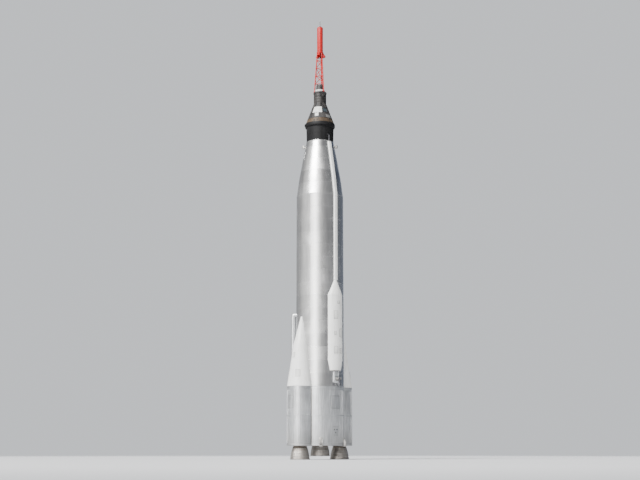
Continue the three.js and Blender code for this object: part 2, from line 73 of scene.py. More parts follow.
# Steps round the tank, height of its courses, and trim that only this scene has
TANK_STEPS, WELD_STEP, BELL_TUBES = 160, 0.82, 180
RIB_DEEP, RIB_WIDE, RIB_FOOT, RIB_TOP = 0.02, 0.046, 0.2, 3.5
TILE_COLUMNS, TILE_STEP = 14, 25.714


# Modelling


def deselect():
    bpy.ops.object.select_all(action="DESELECT")


def pick(*pieces):
    """Selects these pieces alone; the first becomes the active one."""
    deselect()
    for piece in pieces:
        piece.select_set(True)
    bpy.context.view_layer.objects.active = pieces[0]
    return pieces[0]


def settle(piece):
    """Puts a piece's place, turn and scale into its mesh."""
    pick(piece)
    bpy.ops.object.transform_apply(location=True, rotation=True, scale=True)
    return piece


def moved(piece, by=(0, 0, 0), turn=(0, 0, 0), scale=(1, 1, 1)):
    piece.location = by
    piece.rotation_euler = [math.radians(angle) for angle in turn]
    piece.scale = scale
    return settle(piece)


def done_editing():
    """Leaves edit mode, with corners picked again from now on, and gives the edited piece."""
    bpy.ops.mesh.select_mode(type="VERT")
    bpy.ops.object.mode_set(mode="OBJECT")
    return bpy.context.active_object


def pick_outer_face(axis):
    """Selects, for editing, the one face that lies furthest along an axis: 0 is X and 2 is Z."""
    bpy.ops.mesh.select_all(action="DESELECT")
    bpy.ops.object.mode_set(mode="OBJECT")
    faces = bpy.context.active_object.data.polygons
    max(faces, key=lambda face: face.center[axis]).select = True
    bpy.ops.object.mode_set(mode="EDIT")
    bpy.ops.mesh.select_mode(type="FACE")


def joined(*pieces):
    pick(*pieces)
    if len(pieces) > 1:
        bpy.ops.object.join()
    return bpy.context.active_object


def twin(piece):
    """A copy of a piece with a mesh of its own."""
    other = piece.copy()
    other.data = piece.data.copy()
    bpy.context.scene.collection.objects.link(other)
    return other


def ringed(piece, angles, centre=(0.0, 0.0)):
    """The piece repeated at these angles round an upright line, as one piece."""
    middle = Matrix.Translation((*centre, 0))
    copies = [piece] + [twin(piece) for _ in angles[1:]]
    for copy, angle in zip(copies, angles):
        copy.matrix_world = middle @ Matrix.Rotation(math.radians(angle), 4, "Z") @ middle.inverted()
        settle(copy)
    return joined(*copies)


def every(step, first=0.0, last=360.0):
    """Angles from first up to, and not including, last."""
    count = round((last - first) / step)
    return [first + step * i for i in range(count)]


def turned(points, steps=96, centre=(0.0, 0.0), sweep=360.0, start=0.0):
    """(radius, height) points drawn as a chain of edges and spun about an upright line."""
    deselect()
    bpy.ops.mesh.primitive_plane_add(size=0.01, enter_editmode=True)
    bpy.ops.mesh.merge(type="CENTER")
    bpy.ops.transform.translate(value=(points[0][0], 0, points[0][1]))
    for (r0, z0), (r1, z1) in zip(points, points[1:]):
        bpy.ops.mesh.extrude_vertices_move(TRANSFORM_OT_translate={"value": (r1 - r0, 0, z1 - z0)})
    bpy.ops.mesh.select_all(action="SELECT")
    bpy.ops.mesh.spin(steps=steps, angle=math.radians(-sweep), center=(0, 0, 0), axis=(0, 0, 1))
    bpy.ops.mesh.select_all(action="SELECT")
    bpy.ops.mesh.remove_doubles(threshold=1e-5)
    if sweep < 360:
        bpy.ops.mesh.select_all(action="DESELECT")
        bpy.ops.mesh.select_non_manifold()
        bpy.ops.mesh.fill_holes(sides=0)
        bpy.ops.mesh.select_all(action="SELECT")
    bpy.ops.mesh.normals_make_consistent(inside=False)
    return moved(done_editing(), (*centre, 0), (0, 0, start))


def sleeve(outer, inner, **where):
    """A turned wall between an outer and an inner profile, both given from the bottom up."""
    return turned([*outer, *reversed(inner), outer[0]], **where)


def band(radius, low, high, proud=0.006, depth=0.02, **where):
    """A flat hoop with chamfered edges round a body of that radius."""
    lip = min(proud, (high - low) / 4)
    outer = [(radius - depth, low), (radius, low), (radius + proud, low + lip),
             (radius + proud, high - lip), (radius, high), (radius - depth, high)]
    return turned([*outer, outer[0]], **where)


def smooth_chain(points, steps=6):
    """More points on a smooth curve through the given ones."""
    chain = []
    ends = [points[0], *points, points[-1]]
    for before, a, b, after in zip(ends, ends[1:], ends[2:], ends[3:]):
        for i in range(steps):
            t = i / steps
            chain.append(tuple(
                0.5 * (2 * p1 + (p2 - p0) * t + (2 * p0 - 5 * p1 + 4 * p2 - p3) * t**2
                       + (3 * p1 - p0 - 3 * p2 + p3) * t**3)
                for p0, p1, p2, p3 in zip(before, a, b, after)))
    return [*chain, points[-1]]


def soften(piece, width, segments=2, angle=35):
    """Rounds a piece's sharp edges."""
    pick(piece)
    bevel = piece.modifiers.new("edges", "BEVEL")
    bevel.width, bevel.segments = width, segments
    bevel.limit_method, bevel.angle_limit = "ANGLE", math.radians(angle)
    bevel.use_clamp_overlap = True
    bpy.ops.object.modifier_apply(modifier=bevel.name)
    return piece


def block(size, at=(0, 0, 0), turn=(0, 0, 0), edge=0.004, segments=2):
    """A block with rounded edges, centred at a point."""
    deselect()
    bpy.ops.mesh.primitive_cube_add(size=1, scale=size)
    piece = settle(bpy.context.active_object)
    if edge:
        soften(piece, edge, segments)
    return moved(piece, at, turn)


def rod(start, end, radius, sides=20, edge=0.0):
    """A round bar between two points."""
    a, b = Vector(start), Vector(end)
    deselect()
    bpy.ops.mesh.primitive_cylinder_add(vertices=sides, radius=radius, depth=(b - a).length)
    piece = bpy.context.active_object
    if edge:
        soften(piece, edge, 2)
    piece.location = (a + b) / 2
    piece.rotation_euler = (b - a).to_track_quat("Z", "Y").to_euler()
    return settle(piece)


def pipe(points, radius, sides=8, smooth=True):
    """A round pipe along a line through the points."""
    deselect()
    curve = bpy.data.curves.new("pipe", "CURVE")
    curve.dimensions = "3D"
    curve.bevel_depth, curve.bevel_resolution, curve.use_fill_caps = radius, sides, True
    line = curve.splines.new("POLY")
    path = smooth_chain(points, 8) if smooth else points
    line.points.add(len(path) - 1)
    for spot, point in zip(line.points, path):
        spot.co = (*point, 1)
    piece = bpy.data.objects.new("pipe", curve)
    bpy.context.scene.collection.objects.link(piece)
    pick(piece)
    bpy.ops.object.convert(target="MESH")
    bpy.ops.object.mode_set(mode="EDIT")
    bpy.ops.mesh.select_all(action="SELECT")
    bpy.ops.mesh.remove_doubles(threshold=1e-5)
    bpy.ops.mesh.normals_make_consistent(inside=False)
    return done_editing()


def combined(piece, other, operation):
    """The piece after a join, cut or overlap with another, which is used up."""
    pick(piece)
    mix = piece.modifiers.new(operation, "BOOLEAN")
    mix.object, mix.operation, mix.solver = other, operation, "EXACT"
    bpy.ops.object.modifier_apply(modifier=mix.name)
    bpy.data.objects.remove(other)
    return piece


def cut(piece, cutter):
    return combined(piece, cutter, "DIFFERENCE")


def studs(radius, z, count, centre=(0.0, 0.0), first=0.0, last=360.0):
    """Low round fastener heads on a body of that radius."""
    x, y = centre
    head = rod((x + radius - 0.004, y, z), (x + radius + 0.005, y, z), 0.007, 8, 0.002)
    return ringed(head, every((last - first) / count, first, last), centre)


def curved_door(radii, angle, z, wide, tall, proud=0.012, centre=(0.0, 0.0)):
    """A cover that follows a round skin, with fasteners near its rim, and the seal under it."""
    low, high = radii
    layers = []
    for margin, height, edge in ((0.0, proud, 0.004), (0.012, proud * 0.4, 0.001)):
        half = math.degrees((wide / 2 + margin) / low)
        where = {"steps": 12, "sweep": 2 * half, "start": angle - half, "centre": centre}
        ends = ((low, z - tall / 2 - margin), (high, z + tall / 2 + margin))
        outer, inner = ([(r + out, end) for r, end in ends] for out in (height, -0.006))
        layers.append(soften(sleeve(outer, inner, **where), edge, 1))
    x, y = centre
    inset = 0.03
    reach = math.degrees((wide / 2 - inset) / low)
    heads = []
    for share in (-1, 0, 1):
        height = z + share * (tall / 2 - inset)
        out = x + (low + high) / 2 + (high - low) / tall * (height - z) + proud
        head = rod((out - 0.004, y, height), (out + 0.004, y, height), 0.009, 10, 0.002)
        spots = (-reach, 0, reach) if share else (-reach, reach)
        heads.append(ringed(head, [angle + spot for spot in spots], centre))
    return joined(layers[0], *heads), layers[1]


def finished(name, slot, paint, *pieces, body="airframe", turn=0, stands_for=None, crease=32):
    """Joins pieces, turns them about the rocket's axis, and names, paints and smooths the whole."""
    piece = moved(joined(*pieces), turn=(0, 0, turn))
    bpy.ops.object.shade_smooth_by_angle(angle=math.radians(crease))
    piece.name = piece.data.name = name
    piece.data.materials.clear()
    piece.data.materials.append(paint)
    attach(piece, body)
    if stands_for:
        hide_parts(stands_for)


def polar(radius, angle, z):
    return (radius * math.cos(math.radians(angle)), radius * math.sin(math.radians(angle)), z)


def skin_radius(z):
    """The tank's radius at a height."""
    for (r0, z0), (r1, z1) in zip(TAPER, TAPER[1:]):
        if z0 < z <= z1:
            return r0 + (r1 - r0) * (z - z0) / (z1 - z0)
    return TANK_R


def cone_radius(z):
    return CAPSULE_R - CONE_SLOPE * (z - CAPSULE_BASE)


# Shader maths


def linear(red, green, blue):
    """A screen colour of 0 to 255 as the light it stands for."""
    parts = [c / 255 for c in (red, green, blue)]
    return tuple(c / 12.92 if c <= 0.04045 else ((c + 0.055) / 1.055) ** 2.4 for c in parts)


class Number:
    """A shader socket; Python's arithmetic on it adds Math nodes."""

    def __init__(self, finish, socket):
        self.finish, self.socket = finish, socket

    def math(self, operation, *others):
        return self.finish.node("ShaderNodeMath", {"operation": operation}, enumerate((self, *others)))

    def __add__(self, other):
        return self.math("ADD", other)

    def __sub__(self, other):
        return self.math("SUBTRACT", other)

    def __mul__(self, other):
        return self.math("MULTIPLY", other)

    def __truediv__(self, other):
        return self.math("DIVIDE", other)

    def __rsub__(self, other):
        return self.finish.node("ShaderNodeMath", {"operation": "SUBTRACT"}, {0: other, 1: self})

    __radd__ = __add__
    __rmul__ = __mul__

    def power(self, exponent):
        return self.math("POWER", exponent)

    def clamped(self):
        return self.finish.node("ShaderNodeClamp", {}, {"Value": self})

    def stepped(self, low, high):
        """0 below low and 1 above high, smoothly between."""
        settings = {"interpolation_type": "SMOOTHSTEP", "clamp": True}
        sockets = {"Value": self, "From Min": low, "From Max": high}
        return self.finish.node("ShaderNodeMapRange", settings, sockets)


class Nodes:
    """A node tree and the ways to add to it."""

    def node(self, kind, settings=(), sockets=(), out=0):
        made = self.tree.nodes.new(kind)
        for key, value in dict(settings).items():
            if key == "stops":
                while len(made.color_ramp.elements) < len(value):
                    made.color_ramp.elements.new(1.0)
                for stop, (position, colour) in zip(made.color_ramp.elements, value):
                    stop.position, stop.color = position, (*colour, 1)
            else:
                setattr(made, key, value)
        for key, value in dict(sockets).items():
            if isinstance(value, Number):
                self.tree.links.new(value.socket, made.inputs[key])
            else:
                made.inputs[key].default_value = value
        return Number(self, made.outputs[out])

    def parts(self, vector):
        """The three numbers of a vector."""
        sockets = self.node("ShaderNodeSeparateXYZ", {}, {0: vector}).socket.node.outputs
        return [Number(self, socket) for socket in sockets]

    def mix(self, share, first, second):
        first = first if isinstance(first, Number) else (*first, 1)
        second = second if isinstance(second, Number) else (*second, 1)
        return self.node("ShaderNodeMix", {"data_type": "RGBA"}, {0: share, 6: first, 7: second}, out=2)


class Finish(Nodes):
    """A material and the nodes that make it."""

    def __init__(self, name, centre=(0.0, 0.0)):
        self.material = bpy.data.materials.new(name)
        self.material.use_nodes = True
        self.tree = self.material.node_tree
        self.shader = next(n for n in self.tree.nodes if n.type == "BSDF_PRINCIPLED")
        here = self.node("ShaderNodeTexCoord", out="Object")
        shift = {"Vector": here, "Location": (-centre[0], -centre[1], 0)}
        self.place = self.node("ShaderNodeMapping", {}, shift)
        self.x, self.y, self.z = self.parts(self.place)

    def noise(self, scale, detail, stretch=(1.0, 1.0, 1.0), rough=0.55):
        spot = self.node("ShaderNodeMapping", {}, {"Vector": self.place, "Scale": stretch})
        sockets = {"Vector": spot, "Scale": scale, "Detail": detail, "Roughness": rough}
        return self.node("ShaderNodeTexNoise", {}, sockets)

    def angle(self):
        """The angle round the upright axis, in radians."""
        return self.y.math("ARCTAN2", self.x)

    def chance(self, number):
        """A fixed random number from 0 to 1 for each whole number."""
        return self.node("ShaderNodeTexWhiteNoise", {"noise_dimensions": "1D"}, {"W": number})

    def bump(self, height, distance, strength):
        sockets = {"Height": height, "Distance": distance, "Strength": strength}
        return self.node("ShaderNodeBump", {}, sockets)

    def done(self, **sockets):
        for key, value in sockets.items():
            socket = self.shader.inputs[key.replace("_", " ")]
            if isinstance(value, Number):
                self.tree.links.new(value.socket, socket)
            else:
                socket.default_value = value
        return self.material


# Finishes


def polished_steel():
    """Rolled courses of stainless steel, each with a tone of its own, streaks and shallow dents."""
    steel = Finish("polished_steel")
    course = ((steel.z - SHOULDER) / WELD_STEP).math("FLOOR")
    tone = steel.chance(course)
    streak = steel.noise(5.0, 4, (1, 1, 0.12))
    smudge = steel.noise(0.9, 2)
    dents = steel.noise(0.8, 1.5, (1, 1, 1.6), 0.4)
    share = (tone * 0.30 + streak * 0.6 + smudge * 0.35 - 0.1).clamped()
    return steel.done(
        Base_Color=steel.mix(share, (0.40, 0.40, 0.405), (0.80, 0.80, 0.795)),
        Metallic=1.0,
        Roughness=(tone * 0.06 + streak * 0.12 + smudge.stepped(0.45, 0.75) * 0.10 + 0.15).clamped(),
        Normal=steel.bump(dents + streak * 0.02, 0.02, 0.35),
    )


def weathered_paint(name, colour, shade, roughness, streaks, metallic=0.0, gloss=0.5):
    """Satin paint with rain streaks, slow fading and fine orange peel."""
    paint = Finish(name)
    runs = paint.noise(9.0, 5, (1, 1, 0.06)).stepped(0.48, 0.72)
    clouds = paint.noise(1.3, 4).stepped(0.35, 0.7)
    peel = paint.noise(60.0, 2)
    share = (runs * streaks + clouds * 0.4 * streaks).clamped()
    return paint.done(
        Base_Color=paint.mix(share, colour, shade),
        Metallic=metallic,
        Specular_IOR_Level=gloss,
        Roughness=(runs * 0.12 + clouds * 0.08 + roughness).clamped(),
        Normal=paint.bump(peel, 0.0015, 0.25),
    )


def rolled_sheet():
    """Bare and silver-painted sheet of the tail, darker and rougher in cloudy patches towards its bottom."""
    sheet = Finish("rolled_sheet")
    grain = sheet.noise(14.0, 4, (1, 1, 0.08))
    clouds = sheet.noise(1.1, 5)
    # a cloudy mask that grows towards the tail's bottom; it darkens and roughens the sheet there
    near_bottom = (1.0 - (sheet.z / 1.4)).clamped() * clouds
    share = ((grain - 0.5) * 1.8 + (clouds - 0.5) * 1.6 + 0.5).clamped()
    clean = sheet.mix(share, (0.40, 0.41, 0.42), (0.68, 0.69, 0.70))
    return sheet.done(
        Base_Color=sheet.mix((near_bottom * 0.8).clamped(), clean, (0.16, 0.145, 0.13)),
        Metallic=0.85,
        Roughness=(grain * 0.16 + near_bottom * 0.25 + 0.26).clamped(),
        Normal=sheet.bump(grain, 0.002, 0.2),
    )


def bell_metal(name, centre, exit_z):
    """Brazed tubes side by side, browned and blued by heat towards the throat."""
    metal = Finish(name, centre)
    ridge = (metal.angle() * (BELL_TUBES / 2)).math("SINE").math("ABSOLUTE")
    up = ((metal.z - exit_z) / 1.3).clamped()
    patches = metal.noise(3.5, 4)
    stops = [(0.0, (0.20, 0.17, 0.15)), (0.35, (0.30, 0.27, 0.24)), (0.62, (0.36, 0.27, 0.19)),
             (0.8, (0.20, 0.19, 0.24)), (1.0, (0.42, 0.41, 0.40))]
    heat = metal.node("ShaderNodeValToRGB", {"stops": stops}, {0: (up + patches * 0.3 - 0.15).clamped()})
    return metal.done(
        Base_Color=metal.mix((ridge * 0.5 + patches * 0.3).clamped(), heat, (0.46, 0.43, 0.40)),
        Metallic=0.9,
        Roughness=(patches * 0.2 + 0.28).clamped(),
        Normal=metal.bump(ridge, 0.004, 0.7),
    )


def machined_metal(name, dark, light, roughness=0.32):
    """Plain machined or cast metal with a cloudy tone and a fine grain."""
    metal = Finish(name)
    grain = metal.noise(35.0, 3)
    clouds = metal.noise(4.0, 4)
    return metal.done(
        Base_Color=metal.mix((clouds * 0.8 + grain * 0.2).clamped(), dark, light),
        Metallic=0.9,
        Roughness=(clouds * 0.18 + roughness).clamped(),
        Normal=metal.bump(grain, 0.001, 0.3),
    )


def shingle_metal(name, columns, first_z, step_z):
    """Oxidised heat-resisting sheet; each shingle of a column and tier has its own tone."""
    metal = Finish(name)
    column = (metal.angle() * (columns / math.tau) + 0.5).math("FLOOR")
    tier = ((metal.z - first_z) / step_z).math("FLOOR")
    tone = metal.chance(column + tier * 37.0)
    clouds = metal.noise(3.0, 5)
    fine = metal.noise(30.0, 3, (1, 1, 0.3))
    share = (tone * 0.6 + clouds * 0.5 + fine * 0.2 - 0.2).clamped()
    return metal.done(
        Base_Color=metal.mix(share, linear(15, 15, 17), linear(78, 75, 73)),
        Metallic=0.1,
        Specular_IOR_Level=0.3,
        Roughness=(tone * 0.18 + clouds * 0.15 + 0.34).clamped(),
        Normal=metal.bump(fine, 0.0015, 0.35),
    )


def window_glass():
    pane = Finish("window_glass")
    return pane.done(
        Base_Color=pane.mix(pane.noise(2.0, 2), (0.02, 0.03, 0.035), (0.05, 0.07, 0.08)),
        Roughness=(pane.noise(9.0, 3) * 0.05 + 0.03).clamped(),
        Coat_Weight=0.6,
    )


STEEL = polished_steel()
WHITE = weathered_paint("white_paint", linear(246, 246, 243), linear(214, 213, 207),
                        roughness=0.34, streaks=0.5)
BLACK = weathered_paint("black_paint", linear(17, 17, 18), linear(32, 32, 34),
                        roughness=0.52, streaks=0.6, gloss=0.2)
RED = weathered_paint("red_paint", linear(188, 24, 24), linear(160, 34, 31),
                      roughness=0.36, streaks=0.5, gloss=0.4)
BRONZE = weathered_paint("bronze_metal", linear(79, 63, 45), linear(48, 40, 32),
                         roughness=0.5, streaks=0.9, metallic=0.2)
PALE = weathered_paint("pale_plate", linear(226, 226, 222), linear(186, 186, 184),
                       roughness=0.42, streaks=0.6)
SEAL = weathered_paint("door_seal", linear(112, 112, 110), linear(78, 78, 76),
                       roughness=0.6, streaks=0.6)
SHINGLE = shingle_metal("cone_shingles", 24, 21.26, 0.38)
TILE = shingle_metal("recovery_tiles", TILE_COLUMNS, 22.405, 0.19)
SHEET = rolled_sheet()
FITTING = machined_metal("fitting_metal", (0.25, 0.24, 0.23), (0.5, 0.49, 0.47))
DARK_FITTING = machined_metal("dark_fitting", (0.05, 0.05, 0.055), (0.14, 0.14, 0.15), 0.4)
SPIKE_METAL = machined_metal("spike_metal", (0.10, 0.10, 0.105), (0.24, 0.24, 0.235), 0.36)
GLASS = window_glass()


# Tank


def weld_heights(low, high):
    """Heights of the lap welds between two heights, counted from the shoulder."""
    first = math.ceil((low - SHOULDER) / WELD_STEP + 0.2)
    last = math.floor((high - SHOULDER) / WELD_STEP - 0.2)
    return [SHOULDER + WELD_STEP * i for i in range(first, last + 1)]


def lapped_skin(low, high, kinks=()):
    """A tank's outside profile from low to high, with a shallow raised lap at each weld."""
    spots = [(low, 0.0), (high, 0.0)] + [(z, 0.0) for z in kinks]
    for z in weld_heights(low, high):
        spots += [(z - 0.022, 0.0), (z - 0.017, 0.0025), (z + 0.017, 0.0025), (z + 0.022, 0.0)]
    return [(skin_radius(z) + proud, z) for z, proud in sorted(spots)]


def upright_weld(low, high, angle):
    """The lap that closes one course of the tank, at an angle round it."""
    start, end = (skin_radius(low), 0, low + 0.02), (skin_radius(high), 0, high - 0.02)
    lean = math.degrees(math.atan2(end[0] - start[0], end[2] - start[2]))
    strip = block((0.012, 0.045, math.dist(start, end)), edge=0.002, segments=1)
    middle = [(a + b) / 2 for a, b in zip(start, end)]
    return moved(moved(strip, (middle[0] - 0.0035, 0, middle[2]), (0, lean, 0)), turn=(0, 0, angle))


def tank():
    barrel = turned([(0, TAIL_TOP), *lapped_skin(TAIL_TOP, SHOULDER), (0, SHOULDER)], TANK_STEPS)
    finished("barrel_skin", "polished_steel", STEEL, barrel, stands_for="tank_barrel", crease=20)
    foot = SHOULDER + SEAT
    outside = lapped_skin(foot + 0.001, TANK_TOP, TAPER_KINKS)
    taper = turned([(0, foot), (TANK_R, foot), *outside, (0, TANK_TOP)], TANK_STEPS)
    finished("taper_skin", "polished_steel", STEEL, taper, stands_for="tank_taper", crease=20)
    hoops = [band(TANK_R, SHOULDER - 0.035, SHOULDER + 0.03, 0.004, steps=TANK_STEPS),
             band(TANK_TOP_R, TANK_TOP - 0.07, TANK_TOP - 0.005, 0.016, 0.03, steps=128),
             band(TANK_R, TAIL_TOP + 0.004, TAIL_TOP + 0.09, steps=TANK_STEPS)]
    finished("tank_hoops", "polished_steel", STEEL, *hoops, crease=25)
    heights = weld_heights(TAIL_TOP, TANK_TOP)
    seams = [upright_weld(low, high, 73 * i) for i, (low, high) in enumerate(zip(heights, heights[1:]))
             if not low < SHOULDER < high]
    finished("tank_seams", "polished_steel", STEEL, *seams, crease=25)


def off_tank(piece):
    """The piece without what lies inside the tank."""
    outline = [(r - TANK_SINK, z) for r, z in TAPER]
    return cut(piece, turned([(0, 0.5), (TANK_R - TANK_SINK, 0.5), *outline, (0, TANK_TOP)], TANK_STEPS))


# Pods and conduits

# How far each door lies to the right, its height up the rocket, its width and how tall it is
POD_DOORS = (
    (-0.2, 5.95, 0.24, 0.42), (0.2, 7.02, 0.26, 0.5), (-0.2, 8.15, 0.24, 0.5),
    (0.2, 5.9, 0.2, 0.3), (0.0, 8.95, 0.16, 0.16), (-0.24, 7.0, 0.12, 0.2),
)
POD_BELTS = (POD_AFT + 0.68, 6.45, 7.6, 8.75, POD_NOSE - 0.05)


def lofted(stations, sides=64):
    """Level ellipses joined upwards: (height, centre x, centre y, half-width, half-depth) for each."""
    deselect()
    z, x, y, wide, deep = stations[0]
    bpy.ops.mesh.primitive_circle_add(vertices=sides, radius=1, fill_type="NGON", enter_editmode=True)
    bpy.ops.transform.resize(value=(wide, deep, 1))
    bpy.ops.transform.translate(value=(x, y, z))
    for before, after in zip(stations, stations[1:]):
        z, x, y, wide, deep = after
        rise = {"value": (x - before[1], y - before[2], z - before[0])}
        bpy.ops.mesh.extrude_region_move(TRANSFORM_OT_translate=rise)
        bpy.ops.transform.resize(value=(wide / before[3], deep / before[4], 1), center_override=(x, y, z))
    bpy.ops.mesh.select_all(action="SELECT")
    bpy.ops.mesh.normals_make_consistent(inside=False)
    return done_editing()


def pod_stations():
    stations = [(POD_AFT, 0, -POD_Y, 0.42, 0.31)]
    stations += [(z, 0, -POD_Y, POD_HALF, POD_DEPTH) for z in (POD_AFT + 0.65, POD_NOSE - 0.02)]
    for i in range(9):
        t = i / 8
        stations.append((POD_NOSE + (POD_TIP - POD_NOSE) * t, 0, -POD_Y - 0.074 * t,
                         POD_HALF + (0.108 - POD_HALF) * t, POD_DEPTH + (0.092 - POD_DEPTH) * t))
    return stations


def pod_door(x, z, wide, tall):
    """A flat door with four fasteners, and the seal under it, turned as the pod's side is."""
    out = POD_DEPTH * math.sqrt(1 - (x / POD_HALF) ** 2)
    lean = math.degrees(math.atan2(x * POD_DEPTH**2, out * POD_HALF**2))
    place = (x, -(POD_Y + out) + 0.004, z), (0, 0, lean)
    door = block((wide, 0.036, tall), edge=0.007)
    seal = block((wide + 0.026, 0.022, tall + 0.026), edge=0.002)
    heads = [rod((sx, -0.014, sz), (sx, -0.024, sz), 0.008, 10, 0.002)
             for sx in (0.025 - wide / 2, wide / 2 - 0.025) for sz in (0.03 - tall / 2, tall / 2 - 0.03)]
    return moved(joined(door, *heads), *place), moved(seal, *place)


def pod(turn, name):
    """A pod with its belts, doors and fasteners, made in front and turned to its side."""
    shell = off_tank(lofted(pod_stations()))
    finished(f"{name}_shell", "white_paint", WHITE, shell, turn=turn, stands_for=name, crease=25)
    girth = (0, -POD_Y, POD_HALF * 1.012, POD_DEPTH * 1.012)
    belts = [soften(lofted([(z - 0.03, *girth), (z + 0.03, *girth)]), 0.003, 1) for z in POD_BELTS]
    finished(f"{name}_belts", "white_paint", WHITE, off_tank(joined(*belts)), turn=turn, crease=25)
    doors, seals = zip(*[pod_door(*row) for row in POD_DOORS])
    finished(f"{name}_doors", "white_paint", PALE, *doors, turn=turn, crease=25)
    finished(f"{name}_seals", "white_paint", SEAL, *seals, turn=turn, crease=25)
    rim = lofted([(POD_AFT - 0.004, 0, -POD_Y, 0.424, 0.314), (POD_AFT + 0.04, 0, -POD_Y, 0.434, 0.324)])
    finished(f"{name}_base", "white_paint", FITTING, off_tank(soften(rim, 0.003, 1)), turn=turn, crease=30)


def conduit(turn, name):
    """The cable trough up the tank, its clamps, and the cables that go on over the adapter."""
    heights = [POD_TIP + SEAT, SHOULDER - 0.1, SHOULDER + 0.05, *TAPER_KINKS, TANK_TOP - 0.09]
    deselect()
    depth = CONDUIT_DEPTH + 0.02
    bpy.ops.mesh.primitive_cube_add(size=1, enter_editmode=True, scale=(2 * CONDUIT_HALF, depth, 0.01))
    middle = -(TANK_R + CONDUIT_DEPTH) + depth / 2
    bpy.ops.transform.translate(value=(0, middle, heights[0] + 0.005))
    pick_outer_face(2)
    for before, after in zip([heights[0] + 0.01, *heights[1:]], heights[1:]):
        shift = skin_radius(before) - skin_radius(after)
        bpy.ops.mesh.extrude_region_move(TRANSFORM_OT_translate={"value": (0, shift, after - before)})
    trough = soften(done_editing(), 0.014, 3, 60)
    finished(f"{name}_trough", "white_paint", WHITE, trough, turn=turn, stands_for=name, crease=40)
    clamps = []
    z = POD_TIP + 0.35
    while z < TANK_TOP - 0.3:
        near = skin_radius(z)
        tilt = (-math.degrees(math.atan((skin_radius(z - 0.05) - skin_radius(z + 0.05)) / 0.1)), 0, 0)
        saddle_y = -(near + CONDUIT_DEPTH) + 0.043
        clamps += [block((2 * CONDUIT_HALF + 0.016, 0.1, 0.045), (0, saddle_y, z), tilt, 0.006),
                   block((2 * CONDUIT_HALF + 0.09, 0.02, 0.05), (0, -near - 0.004, z), tilt, 0.003)]
        z += 1.03
    finished(f"{name}_clamps", "white_paint", WHITE, *clamps, turn=turn, crease=30)
    route = [(-0.93, TANK_TOP - 0.14), (-0.93, TANK_TOP - 0.02), (-0.918, TANK_TOP + 0.12),
             (-0.914, 20.02), (-0.885, 20.1)]
    cables = [pipe([(x, *spot) for spot in route], 0.016, 5) for x in (-0.045, 0.0, 0.045)]
    plug = block((0.16, 0.05, 0.1), (0, -0.895, 20.09), edge=0.008)
    tie = block((0.17, 0.03, 0.03), (0, -0.912, 19.93), edge=0.005)
    finished(f"{name}_cables", "white_paint", DARK_FITTING, *cables, plug, tie, turn=turn)


# Tail section

NOSE_STATIONS = (TAIL_TOP + SEAT, 4.1, 4.6, 5.1, 5.6, 6.0, 6.3, 6.6, 7.0, 7.4, 7.8, 8.09)
# Angle round the nose or tank, height up the rocket, width and how tall it is, for each door
NOSE_DOORS = ((38, 4.5, 0.3, 0.42), (-38, 4.5, 0.3, 0.42), (0, 5.65, 0.2, 0.3))
SKIRT_DOORS = ((90, 2.72, 0.62, 0.74), (90, 0.95, 0.42, 0.5))
DOOR_PROUD = 0.014


def nose_section(z, proud=0.0):
    """The level section of a nacelle's nose at a height, as lofted() takes it."""
    (z0, x0, r0), (z1, x1, r1) = NACELLE_NOSE[:2] if z <= NACELLE_NOSE[1][0] else NACELLE_NOSE[1:]
    t = (z - z0) / (z1 - z0)
    radius = r0 + (r1 - r0) * t + proud
    return z, x0 + (x1 - x0) * t, 0, radius, radius


def nose_door(angle, z, wide, tall):
    radii = [nose_section(height)[3] for height in (z - tall / 2, z + tall / 2)]
    return curved_door(radii, angle, z, wide, tall, centre=(nose_section(z)[1], 0))


def nacelle_nose(turn, name):
    """A moulded fairing that leans in to the tank, with bands and access doors."""
    shell = off_tank(lofted([nose_section(z) for z in NOSE_STATIONS], 96))
    finished(f"{name}_shell", "white_paint", WHITE, shell, turn=turn, stands_for=name, crease=20)
    hoops = []
    for z, tall in ((3.76, 0.1), (5.2, 0.05), (6.55, 0.045)):
        ends = [nose_section(height, 0.004) for height in (z - tall / 2, z + tall / 2)]
        hoops.append(soften(lofted(ends, 96), 0.002, 1))
    finished(f"{name}_belts", "white_paint", WHITE, off_tank(joined(*hoops)), turn=turn, crease=25)
    doors, seals = zip(*[nose_door(*row) for row in NOSE_DOORS])
    heads = studs(0.811, 3.79, 40, centre=(NACELLE_X, 0), first=-98, last=102)
    finished(f"{name}_doors", "white_paint", PALE, *doors, heads, turn=turn, crease=30)
    finished(f"{name}_seals", "white_paint", SEAL, *seals, turn=turn, crease=30)


def corrugated(radius, centre, angles):
    """Hat-shaped stringers, tapered at their ends, at these angles round a skin."""
    deselect()
    size = (RIB_DEEP * 2, RIB_WIDE, RIB_TOP - RIB_FOOT)
    bpy.ops.mesh.primitive_cube_add(size=1, enter_editmode=True, scale=size)
    pick_outer_face(0)
    bpy.ops.transform.resize(value=(1, 0.55, 0.975))
    rib = moved(done_editing(), (radius + centre, 0, (RIB_FOOT + RIB_TOP) / 2))
    return ringed(rib, angles, (centre, 0))


def tail_skin(skin_r, **where):
    low, high, inside = 0.05, TAIL_TOP - SEAT, skin_r - 0.01
    return sleeve([(skin_r, low), (skin_r, high)], [(inside, low), (inside, high)], **where)


def tail_hoops(radius, **where):
    wall = 0.012
    return [band(radius - wall, low, high, wall, 0.01, **where)
            for low, high in ((0.06, 0.17), (1.86, 1.93), (3.56, 3.69))]


